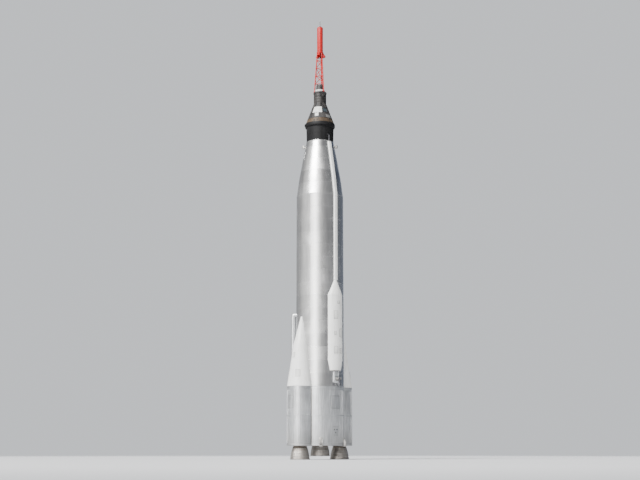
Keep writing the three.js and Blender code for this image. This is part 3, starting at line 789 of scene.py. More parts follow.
def nacelle_shell(turn, name):
    skin_r = NACELLE_R - RIB_DEEP
    where = {"sweep": 225.2, "start": -112.6, "steps": 72, "centre": (NACELLE_X, 0)}
    skin = tail_skin(skin_r, **where)
    ribs = corrugated(skin_r, NACELLE_X, every(7.2, -108, 109))
    ribs = cut(ribs, block((0.4, 0.62, 0.86), (NACELLE_X + skin_r, 0, 2.72), edge=0))
    door, seal = curved_door((skin_r, skin_r), 0, 2.72, 0.5, 0.74, DOOR_PROUD, (NACELLE_X, 0))
    finished(f"{name}_door", "silver_paint", SHEET, door, turn=turn, crease=30)
    finished(f"{name}_seal", "silver_paint", SEAL, seal, turn=turn, crease=30)
    hoops = tail_hoops(NACELLE_R, **where)
    finished(f"{name}_skin", "silver_paint", SHEET, skin, *hoops, turn=turn, stands_for=name, crease=30)
    finished(f"{name}_stringers", "silver_paint", SHEET, ribs, turn=turn, crease=30)


def hold_down_foot(angle):
    """A welded shoe on the skirt: side cheeks, a sloped back and a pin boss over a flat sole."""
    near = TANK_R - 0.012
    sole = block((0.15, 0.22, 0.06), (near + 0.075, 0, 0.03), edge=0.004)
    cheeks = [cut(block((0.15, 0.03, 0.4), (near + 0.075, y, 0.22), edge=0.004),
                  block((0.3, 0.1, 0.4), (near + 0.21, y, 0.48), (0, -24, 0), 0)) for y in (-0.095, 0.095)]
    back = block((0.03, 0.22, 0.5), (near + 0.012, 0, 0.3), edge=0.004)
    boss = rod((near + 0.075, -0.109, 0.2), (near + 0.075, 0.109, 0.2), 0.035, 24, 0.003)
    return moved(joined(sole, *cheeks, back, boss), turn=(0, 0, angle))


def skirt(turn, name):
    """The tank's half of the tail between the nacelles, with its hold-down feet."""
    skin_r = TANK_R - RIB_DEEP
    where = {"sweep": 121.2, "start": 29.4, "steps": 64}
    skin = tail_skin(skin_r, **where)
    feet = [hold_down_foot(angle) for angle in FOOT_ANGLES]
    posts = [rod((x, 0.752, 0.055), (x, 0.752, 3.695), 0.032, 20, 0.004) for x in (-1.312, 1.312)]
    angles = [a for a in every(3.5, 34.5, 147) if min(abs(a - foot) for foot in FOOT_ANGLES) > 4.5]
    ribs = corrugated(skin_r, 0.0, angles)
    for angle, z, wide, tall in SKIRT_DOORS:
        gap = block((0.4, wide + 0.12, tall + 0.12), (skin_r, 0, z), edge=0)
        ribs = cut(ribs, moved(gap, turn=(0, 0, angle)))
    doors, seals = zip(*[curved_door((skin_r, skin_r), *row, DOOR_PROUD) for row in SKIRT_DOORS])
    ports = [rod((skin_r, y, z), (skin_r + 0.02, y, z), 0.045, 28, 0.004)
             for y, z in ((-0.1, 1.03), (0.1, 1.03), (0.0, 0.85))]
    ports = moved(joined(*ports), turn=(0, 0, 90))
    if name == "skirt_panel_rear":
        ends = (polar(reach, DUCT_ANGLE, DUCT_FOOT) for reach in (1.3, 1.8))
        hole = rod(*ends, DUCT_R + 0.012, 40)
        skin = cut(skin, twin(hole))
        ribs = cut(ribs, hole)
    hoops = tail_hoops(TANK_R, **where)
    finished(f"{name}_skin", "silver_paint", SHEET, skin, *hoops, turn=turn, stands_for=name, crease=30)
    finished(f"{name}_stringers", "silver_paint", SHEET, ribs, turn=turn, crease=30)
    finished(f"{name}_feet", "silver_paint", FITTING, *feet, *posts, turn=turn)
    finished(f"{name}_doors", "silver_paint", SHEET, *doors, turn=turn, crease=30)
    finished(f"{name}_seals", "silver_paint", SEAL, *seals, turn=turn, crease=30)
    finished(f"{name}_ports", "silver_paint", DARK_FITTING, ports, turn=turn)


def flame_shield():
    """Folded boots round the bells' holes and a grid of stiffeners on the shield's underside."""
    low = SHIELD_Z
    boots = []
    for x, radius in ((-NACELLE_X, 0.54), (0.0, 0.62), (NACELLE_X, 0.54)):
        outer = [(radius + 0.1, low - 0.004), (radius + 0.095, low - 0.018), (radius + 0.06, low - 0.03)]
        for i in range(4):
            outer += [(radius + 0.052 - 0.014 * i, low - 0.036), (radius + 0.046 - 0.014 * i, low - 0.026)]
        inner = [(radius - 0.003, low - 0.026), (radius - 0.003, low + 0.01), (radius + 0.1, low + 0.01)]
        boots.append(turned([*outer, *inner, outer[0]], 72, (x, 0)))
    finished("shield_boots", "engine_metal", SEAL, *boots, crease=50)
    ribs = [block((0.035, 0.5, 0.018), (x, y, low - 0.006))
            for x in (-0.72, -0.36, 0.0, 0.36, 0.72) for y in (-1, 1)]
    ribs += [block((1.9, 0.03, 0.014), (0, y, low - 0.005), edge=0.003) for y in (-1.02, 1.02)]
    ribs += [block((0.02, 0.42, 0.014), (x, 0, low - 0.005), edge=0.003) for x in (-0.83, 0.83)]
    finished("shield_stiffeners", "engine_metal", FITTING, *ribs)
    stubs = []
    for x in (-0.81, 0.81):
        place = {"steps": 48, "centre": (x, -0.42)}
        stubs.append(sleeve([(0.1, low), (0.1, low - 0.2), (0.108, low - 0.21), (0.108, low - 0.22)],
                            [(0.088, low), (0.088, low - 0.2), (0.092, low - 0.22)], **place))
        outer, inner = ([(r, low - 0.012), (r, low + 0.004)] for r in (0.15, 0.09))
        flange = sleeve(outer, inner, **place)
        bolt = rod((x + 0.13, -0.42, low - 0.01), (x + 0.13, -0.42, low - 0.022), 0.009, 6, 0.001)
        stubs += [soften(flange, 0.003, 1), ringed(bolt, every(36), place["centre"])]
    finished("exhaust_stubs", "engine_metal", DARK_FITTING, *stubs)


# Main engines

# Outside of each bell and chamber: radius and height above its exit
BOOSTER_OUTER = [(0.61, 0.0), (0.57, 0.29), (0.47, 0.68), (0.3, 1.08), (0.24, 1.19), (0.285, 1.34)]
SUSTAINER_OUTER = [(0.61, 0.0), (0.56, 0.38), (0.44, 0.82), (0.25, 1.255), (0.165, 1.42), (0.215, 1.57)]
# Heights of the bands round a bell, above its exit
BELL_BANDS = (0.03, 0.2, 0.36, 0.52, 0.68, 0.84, 1.0)


def lug(x, y, z, base):
    """One ear of a lower yoke with its bearing hole, standing on a base."""
    tall = z + 0.06 - base
    ear = block((0.084, 0.035, tall), (x, y, base + tall / 2))
    return cut(ear, rod((x, y - 0.1, z), (x, y + 0.1, z), 0.036, 24))


def main_engine(name, body, paint, x, exit_z, gimbal, outer, chamber_top):
    """A tube-walled bell with hat bands, an injector dome and a gimbal yoke."""
    skin = [(r, z + exit_z) for r, z in smooth_chain(outer, 7)]
    chamber_r, top, wall = outer[-1][0], exit_z + chamber_top, 0.022
    inside = [(r - wall, z) for r, z in skin]
    bell = sleeve([*skin, (chamber_r, top)], [*inside, (chamber_r - wall - 0.015, top - 0.08)],
                  steps=120, centre=(x, 0))
    finished(f"{name}_bell", "engine_metal", paint, bell, body=body, stands_for=name, crease=40)
    hoops = []
    for z in BELL_BANDS:
        middle = exit_z + z
        radius = next(r0 + (r1 - r0) * (middle - z0) / (z1 - z0)
                      for (r0, z0), (r1, z1) in zip(skin, skin[1:]) if z0 <= middle <= z1)
        hoops.append(band(radius, middle - 0.022, middle + 0.022, 0.014, 0.014, steps=96, centre=(x, 0)))
    for z in (1.36, 1.5, chamber_top - 0.04):
        low, high = exit_z + z - 0.03, exit_z + z + 0.03
        hoops.append(band(chamber_r, low, high, 0.016, 0.012, steps=96, centre=(x, 0)))
    finished(f"{name}_bands", "engine_metal", FITTING, *hoops, body=body)
    plate = gimbal - 0.15
    rise = smooth_chain([(chamber_r, top + 0.005), (chamber_r * 0.86, top + 0.1), (0.16, plate - 0.06)], 6)
    dome = turned([(0, top - 0.09), (chamber_r - 0.04, top - 0.09), (chamber_r + 0.03, top - 0.04),
                   (chamber_r + 0.03, top), *rise, (0.15, plate - 0.05), (0.15, plate), (0, plate)],
                  72, (x, 0))
    rim = x + chamber_r + 0.018
    bolts = ringed(rod((rim, 0, top - 0.002), (rim, 0, top + 0.012), 0.008, 6), every(10), (x, 0))
    ears = [lug(x, side * 0.1125, gimbal, plate - 0.02) for side in (-1, 1)]
    inlet = pipe([(x, -chamber_r * 0.4, plate - 0.12), (x, -chamber_r - 0.06, plate - 0.16),
                  (x, -chamber_r - 0.1, top - 0.2), (x, -chamber_r + 0.02, top - 0.34)], 0.055, 6)
    finished(f"{name}_dome", "engine_metal", FITTING, dome, bolts, *ears, inlet, body=body)


def main_engines():
    for side, x in (("left", -NACELLE_X), ("right", NACELLE_X)):
        paint = bell_metal(f"booster_tubes_{side}", (x, 0.0), FLOOR_Z)
        main_engine(f"booster_engine_{side}", f"booster_{side}", paint,
                    x, FLOOR_Z, BOOSTER_GIMBAL, BOOSTER_OUTER, 1.87)
    paint = bell_metal("sustainer_tubes", (0.0, 0.0), SUSTAINER_EXIT)
    main_engine("sustainer_engine", "sustainer", paint,
                0.0, SUSTAINER_EXIT, SUSTAINER_GIMBAL, SUSTAINER_OUTER, 1.96)


# Steering engines


def facing_front(piece):
    """Turns a piece that was made upright so that its top faces the front."""
    return moved(piece, turn=(90, 0, 0))


def vernier_mount(turn, side):
    """The box under the pod that carries the steering engine, with a bearing ring and feed pipes."""
    low, high, face = 3.92, POD_AFT - SEAT, VERNIER_FACE
    box = block((0.42, 0.34, high - low), (0, -face + 0.17, (low + high) / 2), edge=0.025, segments=3)
    box = cut(box, block((0.6, 0.3, 0.4), (0, -face + 0.02, low - 0.13), (38, 0, 0), 0))
    ring = sleeve([(0.168, 0.0), (0.168, 0.01), (0.162, 0.014)],
                  [(0.128, 0.0), (0.128, 0.01), (0.134, 0.014)], steps=64)
    bolts = ringed(rod((0.148, 0, 0.008), (0.148, 0, 0.022), 0.009, 6, 0.001), every(30))
    ring = moved(facing_front(joined(ring, bolts)), (0, -face + 0.002, VERNIER_Z))
    ribs = [block((0.018, 0.022, 0.28), (x, -face - 0.005, 4.47)) for x in (-0.15, -0.05, 0.05, 0.15)]
    route = [(-face + 0.03, 4.36), (-face - 0.03, 4.38), (-face - 0.035, 4.46),
             (-face - 0.035, POD_AFT + 0.02)]
    feeds = [pipe([(x, *spot) for spot in route], 0.014, 4) for x in (-0.1, 0.1)]
    finished(f"vernier_box_{side}", "silver_paint", SHEET, box, ring, *ribs, *feeds,
             turn=turn, stands_for=f"vernier_mount_{side}")


def vernier_yoke(turn, side):
    """The swivelling disc with two bored ears."""
    disc = turned([(0, 0.0), (0.118, 0.0), (0.118, 0.038), (0.106, 0.05), (0, 0.05)], 56)
    bolts = ringed(rod((0.094, 0, 0.04), (0.094, 0, 0.056), 0.008, 6, 0.001), every(45, 22.5))
    disc = moved(facing_front(joined(disc, bolts)), (0, -VERNIER_FACE - SEAT, VERNIER_Z))
    plate = block((0.248, 0.04, 0.11), (0, -1.695, VERNIER_Z), edge=0.005)
    ears = []
    for x in (-0.112, 0.112):
        arm = block((0.024, 0.15, 0.11), (x, -1.765, VERNIER_Z))
        eye = sleeve([(0.055, -0.012), (0.055, 0.012)], [(0.024, -0.012), (0.024, 0.012)], steps=40)
        ears += [arm, moved(soften(eye, 0.003, 1), (x, -VERNIER_PIN_Y, VERNIER_Z), (0, 90, 0))]
    finished(f"vernier_fork_{side}", "engine_metal", FITTING, disc, plate, *ears,
             body=f"vernier_swivel_{side}", turn=turn, stands_for=f"vernier_yoke_{side}")


def vernier_chamber(turn, side):
    """A small chamber and bell on trunnions."""
    z, y = VERNIER_Z, -VERNIER_PIN_Y
    outside = smooth_chain([(0.085, z - 0.4), (0.075, z - 0.33), (0.038, z - 0.23), (0.062, z - 0.18)], 5)
    inside = [(r - 0.01, height) for r, height in outside]
    bell = sleeve([*outside, (0.062, z + 0.06)], [*inside, (0.048, z + 0.04)], steps=48, centre=(0, y))
    cap = turned([(0, z + 0.04), (0.068, z + 0.04), (0.068, z + 0.062), (0.04, z + 0.095), (0, z + 0.095)],
                 40, (0, y))
    hoops = [band(0.081, z - 0.378, z - 0.362, 0.005, 0.006, steps=48, centre=(0, y)),
             band(0.062, z - 0.12, z - 0.1, 0.006, 0.006, steps=48, centre=(0, y))]
    pins = [rod((s * 0.05, y, z), (s * 0.0997, y, z), 0.032, 24, 0.002) for s in (-1, 1)]
    pins += [rod((s * 0.05, y, z), (s * 0.122, y, z), 0.019, 20) for s in (-1, 1)]
    finished(f"vernier_chamber_{side}", "engine_metal", DARK_FITTING, bell, cap, *hoops, *pins,
             body=f"vernier_{side}", turn=turn, stands_for=f"vernier_engine_{side}")


# Duct and valves


def oxidiser_duct():
    """The long pipe with flanges, bellows and saddles, made on the +X side and turned to its place."""
    top, foot, bend, inner = 8.3, DUCT_FOOT, 0.33, 1.405
    line = [(x, 0, top) for x in (inner, 1.5, 1.6)]
    for i in range(1, 9):
        t = i / 8
        line.append((DUCT_OUT - 0.06 + 0.06 * (2 * t - t * t), 0, top - bend * t * t))
    line += [(DUCT_OUT, 0, top - bend - 0.2), (DUCT_OUT, 0, foot + bend + 0.2)]
    for i in range(11):
        t = i / 10
        line.append((DUCT_OUT * (1 - t * t) + inner * t * t, 0, foot + bend * (1 - t) ** 2))
    tube = pipe(line, DUCT_R, 14, smooth=False)
    place = {"steps": 48, "centre": (DUCT_OUT, 0)}
    fittings = [band(DUCT_R, z - 0.02, z + 0.02, 0.028, 0.01, **place) for z in (4.1, 5.6, 6.2, 7.75)]
    fittings += [band(DUCT_R, 5.68 + 0.06 * i, 5.71 + 0.06 * i, 0.014, 0.01, **place) for i in range(8)]
    for z in (5.0, 6.7):
        fittings += [block((0.16, 0.12, 0.08), (1.56, 0, z + 0.04), edge=0.006),
                     band(DUCT_R, z + 0.01, z + 0.07, 0.008, 0.01, **place)]
    finished("duct_pipe", "silver_paint", SHEET, tube, *fittings, duct_collar(foot),
             turn=DUCT_ANGLE, stands_for="oxidiser_duct", crease=35)


def duct_collar(z):
    """The riveted ring on the skirt where the duct goes in."""
    half = math.degrees(0.24 / TANK_R)
    outer, inner = ([(r, z - 0.24), (r, z + 0.24)] for r in (TANK_R + 0.004, TANK_R - 0.016))
    ring = sleeve(outer, inner, steps=16, sweep=2 * half, start=-half)
    ring = combined(ring, rod((1.4, 0, z), (1.7, 0, z), 0.23, 48), "INTERSECT")
    ring = cut(ring, rod((1.3, 0, z), (1.8, 0, z), DUCT_R + 0.004, 48))
    heads = []
    for i in range(16):
        y, up = 0.19 * math.cos(math.tau * i / 16), 0.19 * math.sin(math.tau * i / 16)
        heads.append(rod((1.5, y, z + up), (1.535, y, z + up), 0.008, 8, 0.002))
    return joined(soften(ring, 0.002, 1), *heads)


def vent_valve(angle, name):
    z = TANK_TOP - 0.33
    neck = rod((0.9, 0, z), (1.07, 0, z + 0.036), 0.058, 32, 0.004)
    flange = rod((0.965, 0, z + 0.014), (0.985, 0, z + 0.018), 0.075, 32, 0.003)
    cap = turned([(0, z - 0.07), (0.06, z - 0.07), (0.076, z - 0.05), (0.076, z + 0.1),
                  (0.06, z + 0.14), (0, z + 0.15)], 40, (1.085, 0))
    finished(f"{name}_body", "silver_paint", FITTING, neck, flange, cap, turn=angle, stands_for=name)


# Adapter and capsule


def adapter():
    low, high = TANK_TOP + SEAT, ADAPTER_TOP
    outer = [(TANK_TOP_R, low), (TANK_TOP_R, low + 0.06), (0.872, low + 0.075), (0.892, high - 0.11),
             (0.938, high - 0.08), (0.94, high)]
    shell = sleeve(outer, [(0.809, low), (0.809, high)], steps=128)
    finished("adapter_shell", "black_paint", BLACK, shell, stands_for="capsule_adapter", crease=25)
    base, head = low + 0.1, high - 0.13
    door_angle, door_low, door_high = 335, 20.22, 20.62

    def beads(first, last, angles):
        ends = [(0.8725 + 0.018 * (z - base) / (head - base), 0, z) for z in (first, last)]
        return ringed(rod(*ends, 0.011, 10, 0.004), angles)

    beside = [a for a in every(5) if abs(a - door_angle) > 11]
    across = [a for a in every(5) if abs(a - door_angle) <= 11]
    rows = [beads(base, head, beside), beads(base, door_low, across), beads(door_high, head, across)]
    bolts = ringed(rod((0.877, 0, low + 0.058), (0.877, 0, low + 0.07), 0.007, 6), every(6))
    hoop = band(0.881, 20.2, 20.24, 0.008, 0.012, steps=128)
    finished("adapter_beads", "black_paint", BLACK, *rows, bolts, hoop)
    door = curved_door((0.884, 0.892), door_angle, (door_low + door_high) / 2, 0.28, 0.34, 0.01)
    finished("adapter_door", "black_paint", BLACK, *door)


def clamp_ring():
    r, low, high = CAPSULE_R, ADAPTER_TOP - 0.06, CAPSULE_BASE
    profile = [(r + 0.001, low), (r + 0.026, low), (r + 0.036, low + 0.02), (r + 0.044, low + 0.08),
               (r + 0.044, high - 0.04), (r + 0.03, high - 0.01), (r + 0.028, high), (r + 0.001, high)]
    hoop = turned([*profile, profile[0]], 128)
    lug_z = high - 0.09
    bolts = [rod((r + 0.055, s * 0.13, lug_z), (r + 0.055, s * 0.09, lug_z), 0.018, 12, 0.003)
             for s in (-1, 1)]
    lugs = ringed(joined(block((0.05, 0.24, 0.12), (r + 0.05, 0, lug_z), edge=0.008), *bolts), AT_LEGS)
    finished("clamp_band", "black_paint", BLACK, hoop, lugs, stands_for="clamp_ring")


def heat_shield():
    low, high, rim = ADAPTER_TOP, CAPSULE_BASE - SEAT, CAPSULE_R - 0.002
    dish = smooth_chain([(0.0, low - 0.19), (0.25, low - 0.172), (0.5, low - 0.118), (0.78, low + SEAT)], 5)
    shield = turned([*dish, (rim, low + SEAT), (rim, high), (0, high)], 128)
    finished("shield_dish", "bronze", BRONZE, shield, stands_for="heat_shield")


def cone_cutter(spec, inset=0.0):
    """A straight-sided cutter through the cone's wall, square to it."""
    cutter = block((0.4, spec["width"] - 2 * inset, spec["height"] - 2 * inset), edge=0)
    soft = soften_along_x(cutter, spec["corner"])
    moved(soft, (cone_radius(spec["z"]), 0, spec["z"]), (0, -CONE_LEAN, 0))
    return moved(soft, turn=(0, 0, spec["angle"]))


def soften_along_x(piece, width):
    """Rounds the edges that run along X."""
    pick(piece)
    bpy.ops.object.mode_set(mode="EDIT")
    bpy.ops.mesh.select_all(action="DESELECT")
    bpy.ops.object.mode_set(mode="OBJECT")
    spots = piece.data.vertices
    for edge in piece.data.edges:
        a, b = (spots[i].co for i in edge.vertices)
        edge.select = abs(a.x - b.x) > 0.01
    bpy.ops.object.mode_set(mode="EDIT")
    bpy.ops.mesh.select_mode(type="EDGE")
    bpy.ops.mesh.bevel(offset=width, segments=5, affect="EDGES")
    return done_editing()


def cone_wall(low, high, skin=0.0, depth=0.08, steps=128, **where):
    outer, inner = ([(cone_radius(z) - inset, z) for z in (low, high)] for inset in (skin, depth))
    return sleeve(outer, inner, steps=steps, **where)


def cone_bead(low, high, radius, step):
    """Half-round beads round the cone between two heights."""
    return ringed(rod(*[(cone_radius(z) - 0.002, 0, z) for z in (low, high)], radius, 8, 0.003), every(step))


def cone_beads():
    """Stiffening beads in three tiers."""
    return joined(*[cone_bead(low, high, 0.0085, step)
                    for low, high, step in ((21.26, 21.62, 5.0), (21.66, 22.0, 5.0), (22.04, 22.35, 7.5))])


def cone_piece(spec, inset, *wall):
    """The part of a wall of the cone that fills an opening, or less by an inset."""
    return combined(cone_wall(*wall), cone_cutter(spec, inset), "INTERSECT")


def without_openings(piece, hatch_inset, window_inset):
    return cut(cut(piece, cone_cutter(HATCH, hatch_inset)), cone_cutter(WINDOW, window_inset))


def capsule():
    low, high = BASE_RING_TOP + SEAT, CONE_TOP - SEAT
    finished("cone_skin", "dark_shingle", SHINGLE, without_openings(cone_wall(low, high), 0, 0),
             stands_for="capsule_cone", crease=30)
    sill = cut(cone_piece(HATCH, 0, low + 0.1, high - 0.1, 0.045, 0.075), cone_cutter(HATCH, 0.03))
    finished("hatch_sill", "dark_shingle", DARK_FITTING, sill)
    lid = cone_piece(HATCH, 0.006, low, high, 0.0, 0.0447)
    finished("hatch_lid", "dark_shingle", SHINGLE, lid, body="hatch", stands_for="crew_hatch", crease=30)
    lid_beads = combined(cone_beads(), cone_cutter(HATCH, 0.03), "INTERSECT")
    finished("hatch_beads", "dark_shingle", SHINGLE, lid_beads, body="hatch", crease=40)
    beads = without_openings(cone_beads(), -0.02, -0.03)
    hoops = [band(cone_radius(z), z - 0.012, z + 0.012, 0.007, 0.012, steps=128) for z in (21.64, 22.02)]
    hoops = without_openings(joined(*hoops), -0.012, -0.012)
    finished("cone_beads", "dark_shingle", SHINGLE, beads, hoops, crease=40)
    pane = cone_piece(WINDOW, SEAT, low, high, 0.02, 0.05)
    finished("window_pane", "glass", GLASS, pane, stands_for="cabin_window")
    frame_ring = cut(cone_piece(WINDOW, -0.025, low, high, -0.012, 0.03), cone_cutter(WINDOW, 0.004))
    finished("window_frame", "dark_shingle", DARK_FITTING, frame_ring)
    edge = band(cone_radius(21.22), 21.205, 21.229, 0.008, 0.01, steps=128)
    finished("base_shingles", "bronze", BRONZE, cone_wall(CAPSULE_BASE, BASE_RING_TOP),
             cone_bead(21.0, 21.19, 0.008, 5), edge, stands_for="capsule_base_ring", crease=30)
    plates = [curved_plate(214, 21.835, 0.43, 55), curved_plate(213, 21.475, 0.24, 18)]
    finished("marking_plates", "white_paint", PALE, *plates)
    # a paler plate low on the cone's right side: a small door, and partly a painted highlight where the cone
    # catches light
    finished("door_plate_painted_highlight", "white_paint", SEAL, curved_plate(275, 21.385, 0.21, 32))


def curved_plate(angle, z, tall, sweep):
    """A thin plate that lies on the beads of the cone."""
    where = {"steps": 24, "sweep": sweep, "start": angle - sweep / 2}
    return soften(cone_wall(z - tall / 2, z + tall / 2, -0.013, -0.005, **where), 0.003, 1)


def cabin():
    """What the window and hatch show: wall frames, a moulded couch and an instrument panel."""
    frames = [cone_frame(z) for z in (21.36, 22.18)]
    finished("cabin_frames", "dark_shingle", FITTING, *frames)
    couch = [block((0.5, 0.94, 0.05), (0, -0.07, 20.976), edge=0.02, segments=3),
             block((0.5, 0.1, 0.16), (0, 0.37, 21.02), (14, 0, 0), 0.03, 3),
             block((0.5, 0.1, 0.14), (0, -0.5, 21.01), (-14, 0, 0), 0.03, 3)]
    couch += [block((0.05, 0.7, 0.11), (x, -0.07, 21.0), edge=0.02, segments=3) for x in (-0.235, 0.235)]
    couch.append(block((0.26, 0.2, 0.06), (0, 0.25, 21.02), edge=0.025, segments=3))
    finished("couch_shell", "white_paint", PALE, *couch, stands_for="crew_couch", crease=40)
    panel = block((0.72, 0.5, 0.04), (0, -0.08, 22.02), edge=0.01)
    dials = [rod((x, y, 22.002), (x, y, 21.985), radius, 28, 0.003) for x, y, radius in (
        (-0.22, 0.0, 0.06), (0.0, 0.02, 0.07), (0.22, 0.0, 0.06), (-0.12, -0.2, 0.035), (0.12, -0.2, 0.035))]
    struts = [rod((sx * 0.27, sy * 0.18 - 0.03, 22.03), (sx * 0.3, sy * 0.2, 22.175), 0.014, 12)
              for sx in (-1, 1) for sy in (-1, 1)]
    finished("instrument_panel", "dark_shingle", DARK_FITTING, panel, *dials, *struts)


def cone_frame(z):
    """A level frame inside the cone's wall."""
    radii = (cone_radius(z) - 0.079, cone_radius(z) - 0.115)
    outer, inner = ([(r, z - 0.02), (r, z + 0.02)] for r in radii)
    return sleeve(outer, inner, steps=64)


def recovery_section():
    r, low, high = CONE_TOP_R, CONE_TOP, RECOVERY_TOP
    can = turned([(0, low), (r, low), (r - 0.005, high - 0.09), (r + 0.03, high - 0.066),
                  (r + 0.036, high - 0.05), (r + 0.036, high - 0.008), (r + 0.028, high), (0, high)])
    finished("recovery_can", "dark_shingle", TILE, can, stands_for="recovery_section", crease=25)
    tiles = [ringed(block((0.012, 0.16, 0.17), (r - 0.003, 0, z), edge=0.003), every(TILE_STEP))
             for z in (22.5, 22.69, 22.88)]
    screws = ringed(rod((r - 0.002, 0, 22.4), (r + 0.008, 0, 22.4), 0.007, 8), every(12))
    finished("recovery_tiles", "dark_shingle", TILE, *tiles, screws)


def antenna_canister():
    low, high, step = RECOVERY_TOP + SEAT, CANISTER_TOP, RECOVERY_TOP + SEAT + 0.2
    can = turned([(0, step), (0.312, step), (0.27, 23.34), (0.258, 23.4), (0.225, high - 0.03),
                  (0.212, high - 0.008), (0.19, high), (0, high)], 72)
    ribs = ringed(rod((0.262, 0, 23.37), (0.226, 0, 23.65), 0.007, 8), every(15))
    finished("canister_cap", "dark_shingle", SHINGLE, can, ribs, stands_for="antenna_canister", crease=25)
    ring = turned([(0, low), (0.318, low), (0.318, low + 0.03), (0.314, low + 0.036),
                   (0.313, step), (0, step)], 72)
    finished("canister_ring", "white_paint", PALE, ring, crease=25)


# Escape tower


def tower():
    """Three legs with level and slanting braces, a foot ring with clamps and a sleeve at each node."""
    low, high = RECOVERY_TOP + 0.02, MOTOR_BASE + 0.02

    def at(leg, share, inwards=1.0):
        radius = LEG_FOOT_R + (LEG_HEAD_R - LEG_FOOT_R) * share
        return polar(inwards * radius, LEG_START + 120 * leg, low + (high - low) * share)

    head = (MOTOR_BASE - 0.002 - low) / (high - low)
    tubes = [rod(at(leg, 0.0), at(leg, head), LEG_R, 28) for leg in range(3)]
    for leg in range(3):
        for i, share in enumerate(BRACE_LEVELS):
            tubes.append(rod(at(leg, share), at(leg + 1, share), BRACE_R, 20))
            if i:
                a, b = at(leg + i % 2, BRACE_LEVELS[i - 1]), at(leg + (i + 1) % 2, share)
                tubes.append(rod(a, b, BRACE_R, 20))
            x, y, z = at(leg, share)
            tubes.append(turned([(0, z - 0.055), (0.036, z - 0.055), (0.042, z - 0.04), (0.042, z + 0.04),
                                 (0.036, z + 0.055), (0, z + 0.055)], 28, (x, y)))
    finished("tower_tubes", "red_paint", RED, *tubes, stands_for="tower_truss", crease=40)
    base = RECOVERY_TOP
    hoop = sleeve([(0.416, base + SEAT), (0.416, base + 0.05), (0.408, base + 0.06)],
                  [(0.34, base + SEAT), (0.34, base + 0.05), (0.348, base + 0.06)])
    shoes = ringed(block((0.1, 0.12, 0.06), (0.376, 0, base + 0.075), edge=0.006), AT_LEGS)
    clamps = ringed(block((0.05, 0.07, 0.08), (0.42, 0, base + 0.03), edge=0.006), BETWEEN_LEGS)
    finished("tower_foot", "red_paint", RED, shoes)
    finished("tower_ring", "dark_shingle", DARK_FITTING, hoop, clamps)
    cable = pipe([at(1, share, 0.86) for share in (0.02, 0.5, 0.97)], 0.012, 4, False)
    clips = [block((0.07, 0.03, 0.03), at(1, share, 0.93), (0, 0, 150))
             for share in (0.1, 0.3, 0.5, 0.7, 0.9)]
    finished("tower_cable", "red_paint", FITTING, cable, *clips)


def escape_motor():
    """The motor's case, its cluster of three nozzles and the small jettison motor among them."""
    base, top, radius = MOTOR_BASE, MOTOR_TOP, 0.195
    low = base + 0.08 + SEAT
    crown = [(radius - 0.003, top - 0.06), (radius - 0.012, top - 0.02), (radius - 0.04, top)]
    case = turned([(0, low), (radius - 0.004, low), (radius, low + 0.01), (radius, top - 0.075),
                   *smooth_chain(crown, 4), (0, top)])
    hoops = [band(radius, z - 0.02, z + 0.02, 0.006, 0.01) for z in (26.12, 26.68, 27.25, 27.62)]
    seam = moved(block((0.016, 0.03, 1.5), (radius + 0.004, 0, 26.87)), turn=(0, 0, 100))
    finished("motor_case", "red_paint", RED, case, *hoops, seam, stands_for="escape_motor", crease=25)
    plate = turned([(0, base), (0.215, base), (0.225, base + 0.01), (0.225, base + 0.06), (0.2, base + 0.08),
                    (0, base + 0.08)])
    outer = smooth_chain([(0.07, 0.0), (0.078, -0.08), (0.1, -0.22), (0.118, -0.33)], 4)
    inner = [(r - 0.016, z) for r, z in outer]
    horn = turned([(0, 0.015), (0.07, 0.015), *outer, (0.104, -0.33), *reversed(inner[:-1]), (0, -0.06)], 48)
    throat = band(0.07, -0.02, 0.012, 0.012, 0.012, steps=48)
    horn = moved(joined(horn, throat), (0.15, 0, base + 0.03), (0, -24, 0))
    horns = ringed(horn, BETWEEN_LEGS)
    finished("nozzle_cluster", "red_paint", RED, plate, horns, stands_for="escape_nozzles", crease=30)
    small = turned([(0, base + 0.008), (0.075, base + 0.008), (0.075, base - 0.2), (0.06, base - 0.23),
                    (0.05, base - 0.25), (0.058, base - 0.33), (0.046, base - 0.33), (0.034, base - 0.25),
                    (0, base - 0.22)], 48)
    finished("jettison_motor", "red_paint", DARK_FITTING, small, crease=30)


def spike():
    low, r = MOTOR_TOP + SEAT, 0.0215
    body = turned([(0, low), (0.095, low), (0.095, low + 0.012), (0.088, low + 0.03), (0.07, low + 0.06),
                   (0.04, low + 0.085), (0.024, low + 0.11), (r, low + 0.2), (0.02, TIP - 0.09),
                   (0.012, TIP - 0.04), (0.004, TIP - 0.002), (0, TIP)], 40)
    collars = [band(r, low + z, low + z + 0.018, 0.006, 0.006, steps=32) for z in (0.16, 0.3)]
    finished("spike_rod", "silver_paint", SPIKE_METAL, body, *collars,
             stands_for="aerodynamic_spike", crease=30)


# Nodes that keep their own mesh


def dress_frame_nodes():
    paints = {
        FITTING: ["thrust_frame", "booster_gimbal_left", "booster_gimbal_right", "sustainer_gimbal"],
        SHEET: ["tank_aft_cone", "flame_shield"],
    }
    for paint, names in paints.items():
        for name in names:
            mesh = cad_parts[name].data
            mesh.materials.clear()
            mesh.materials.append(paint)


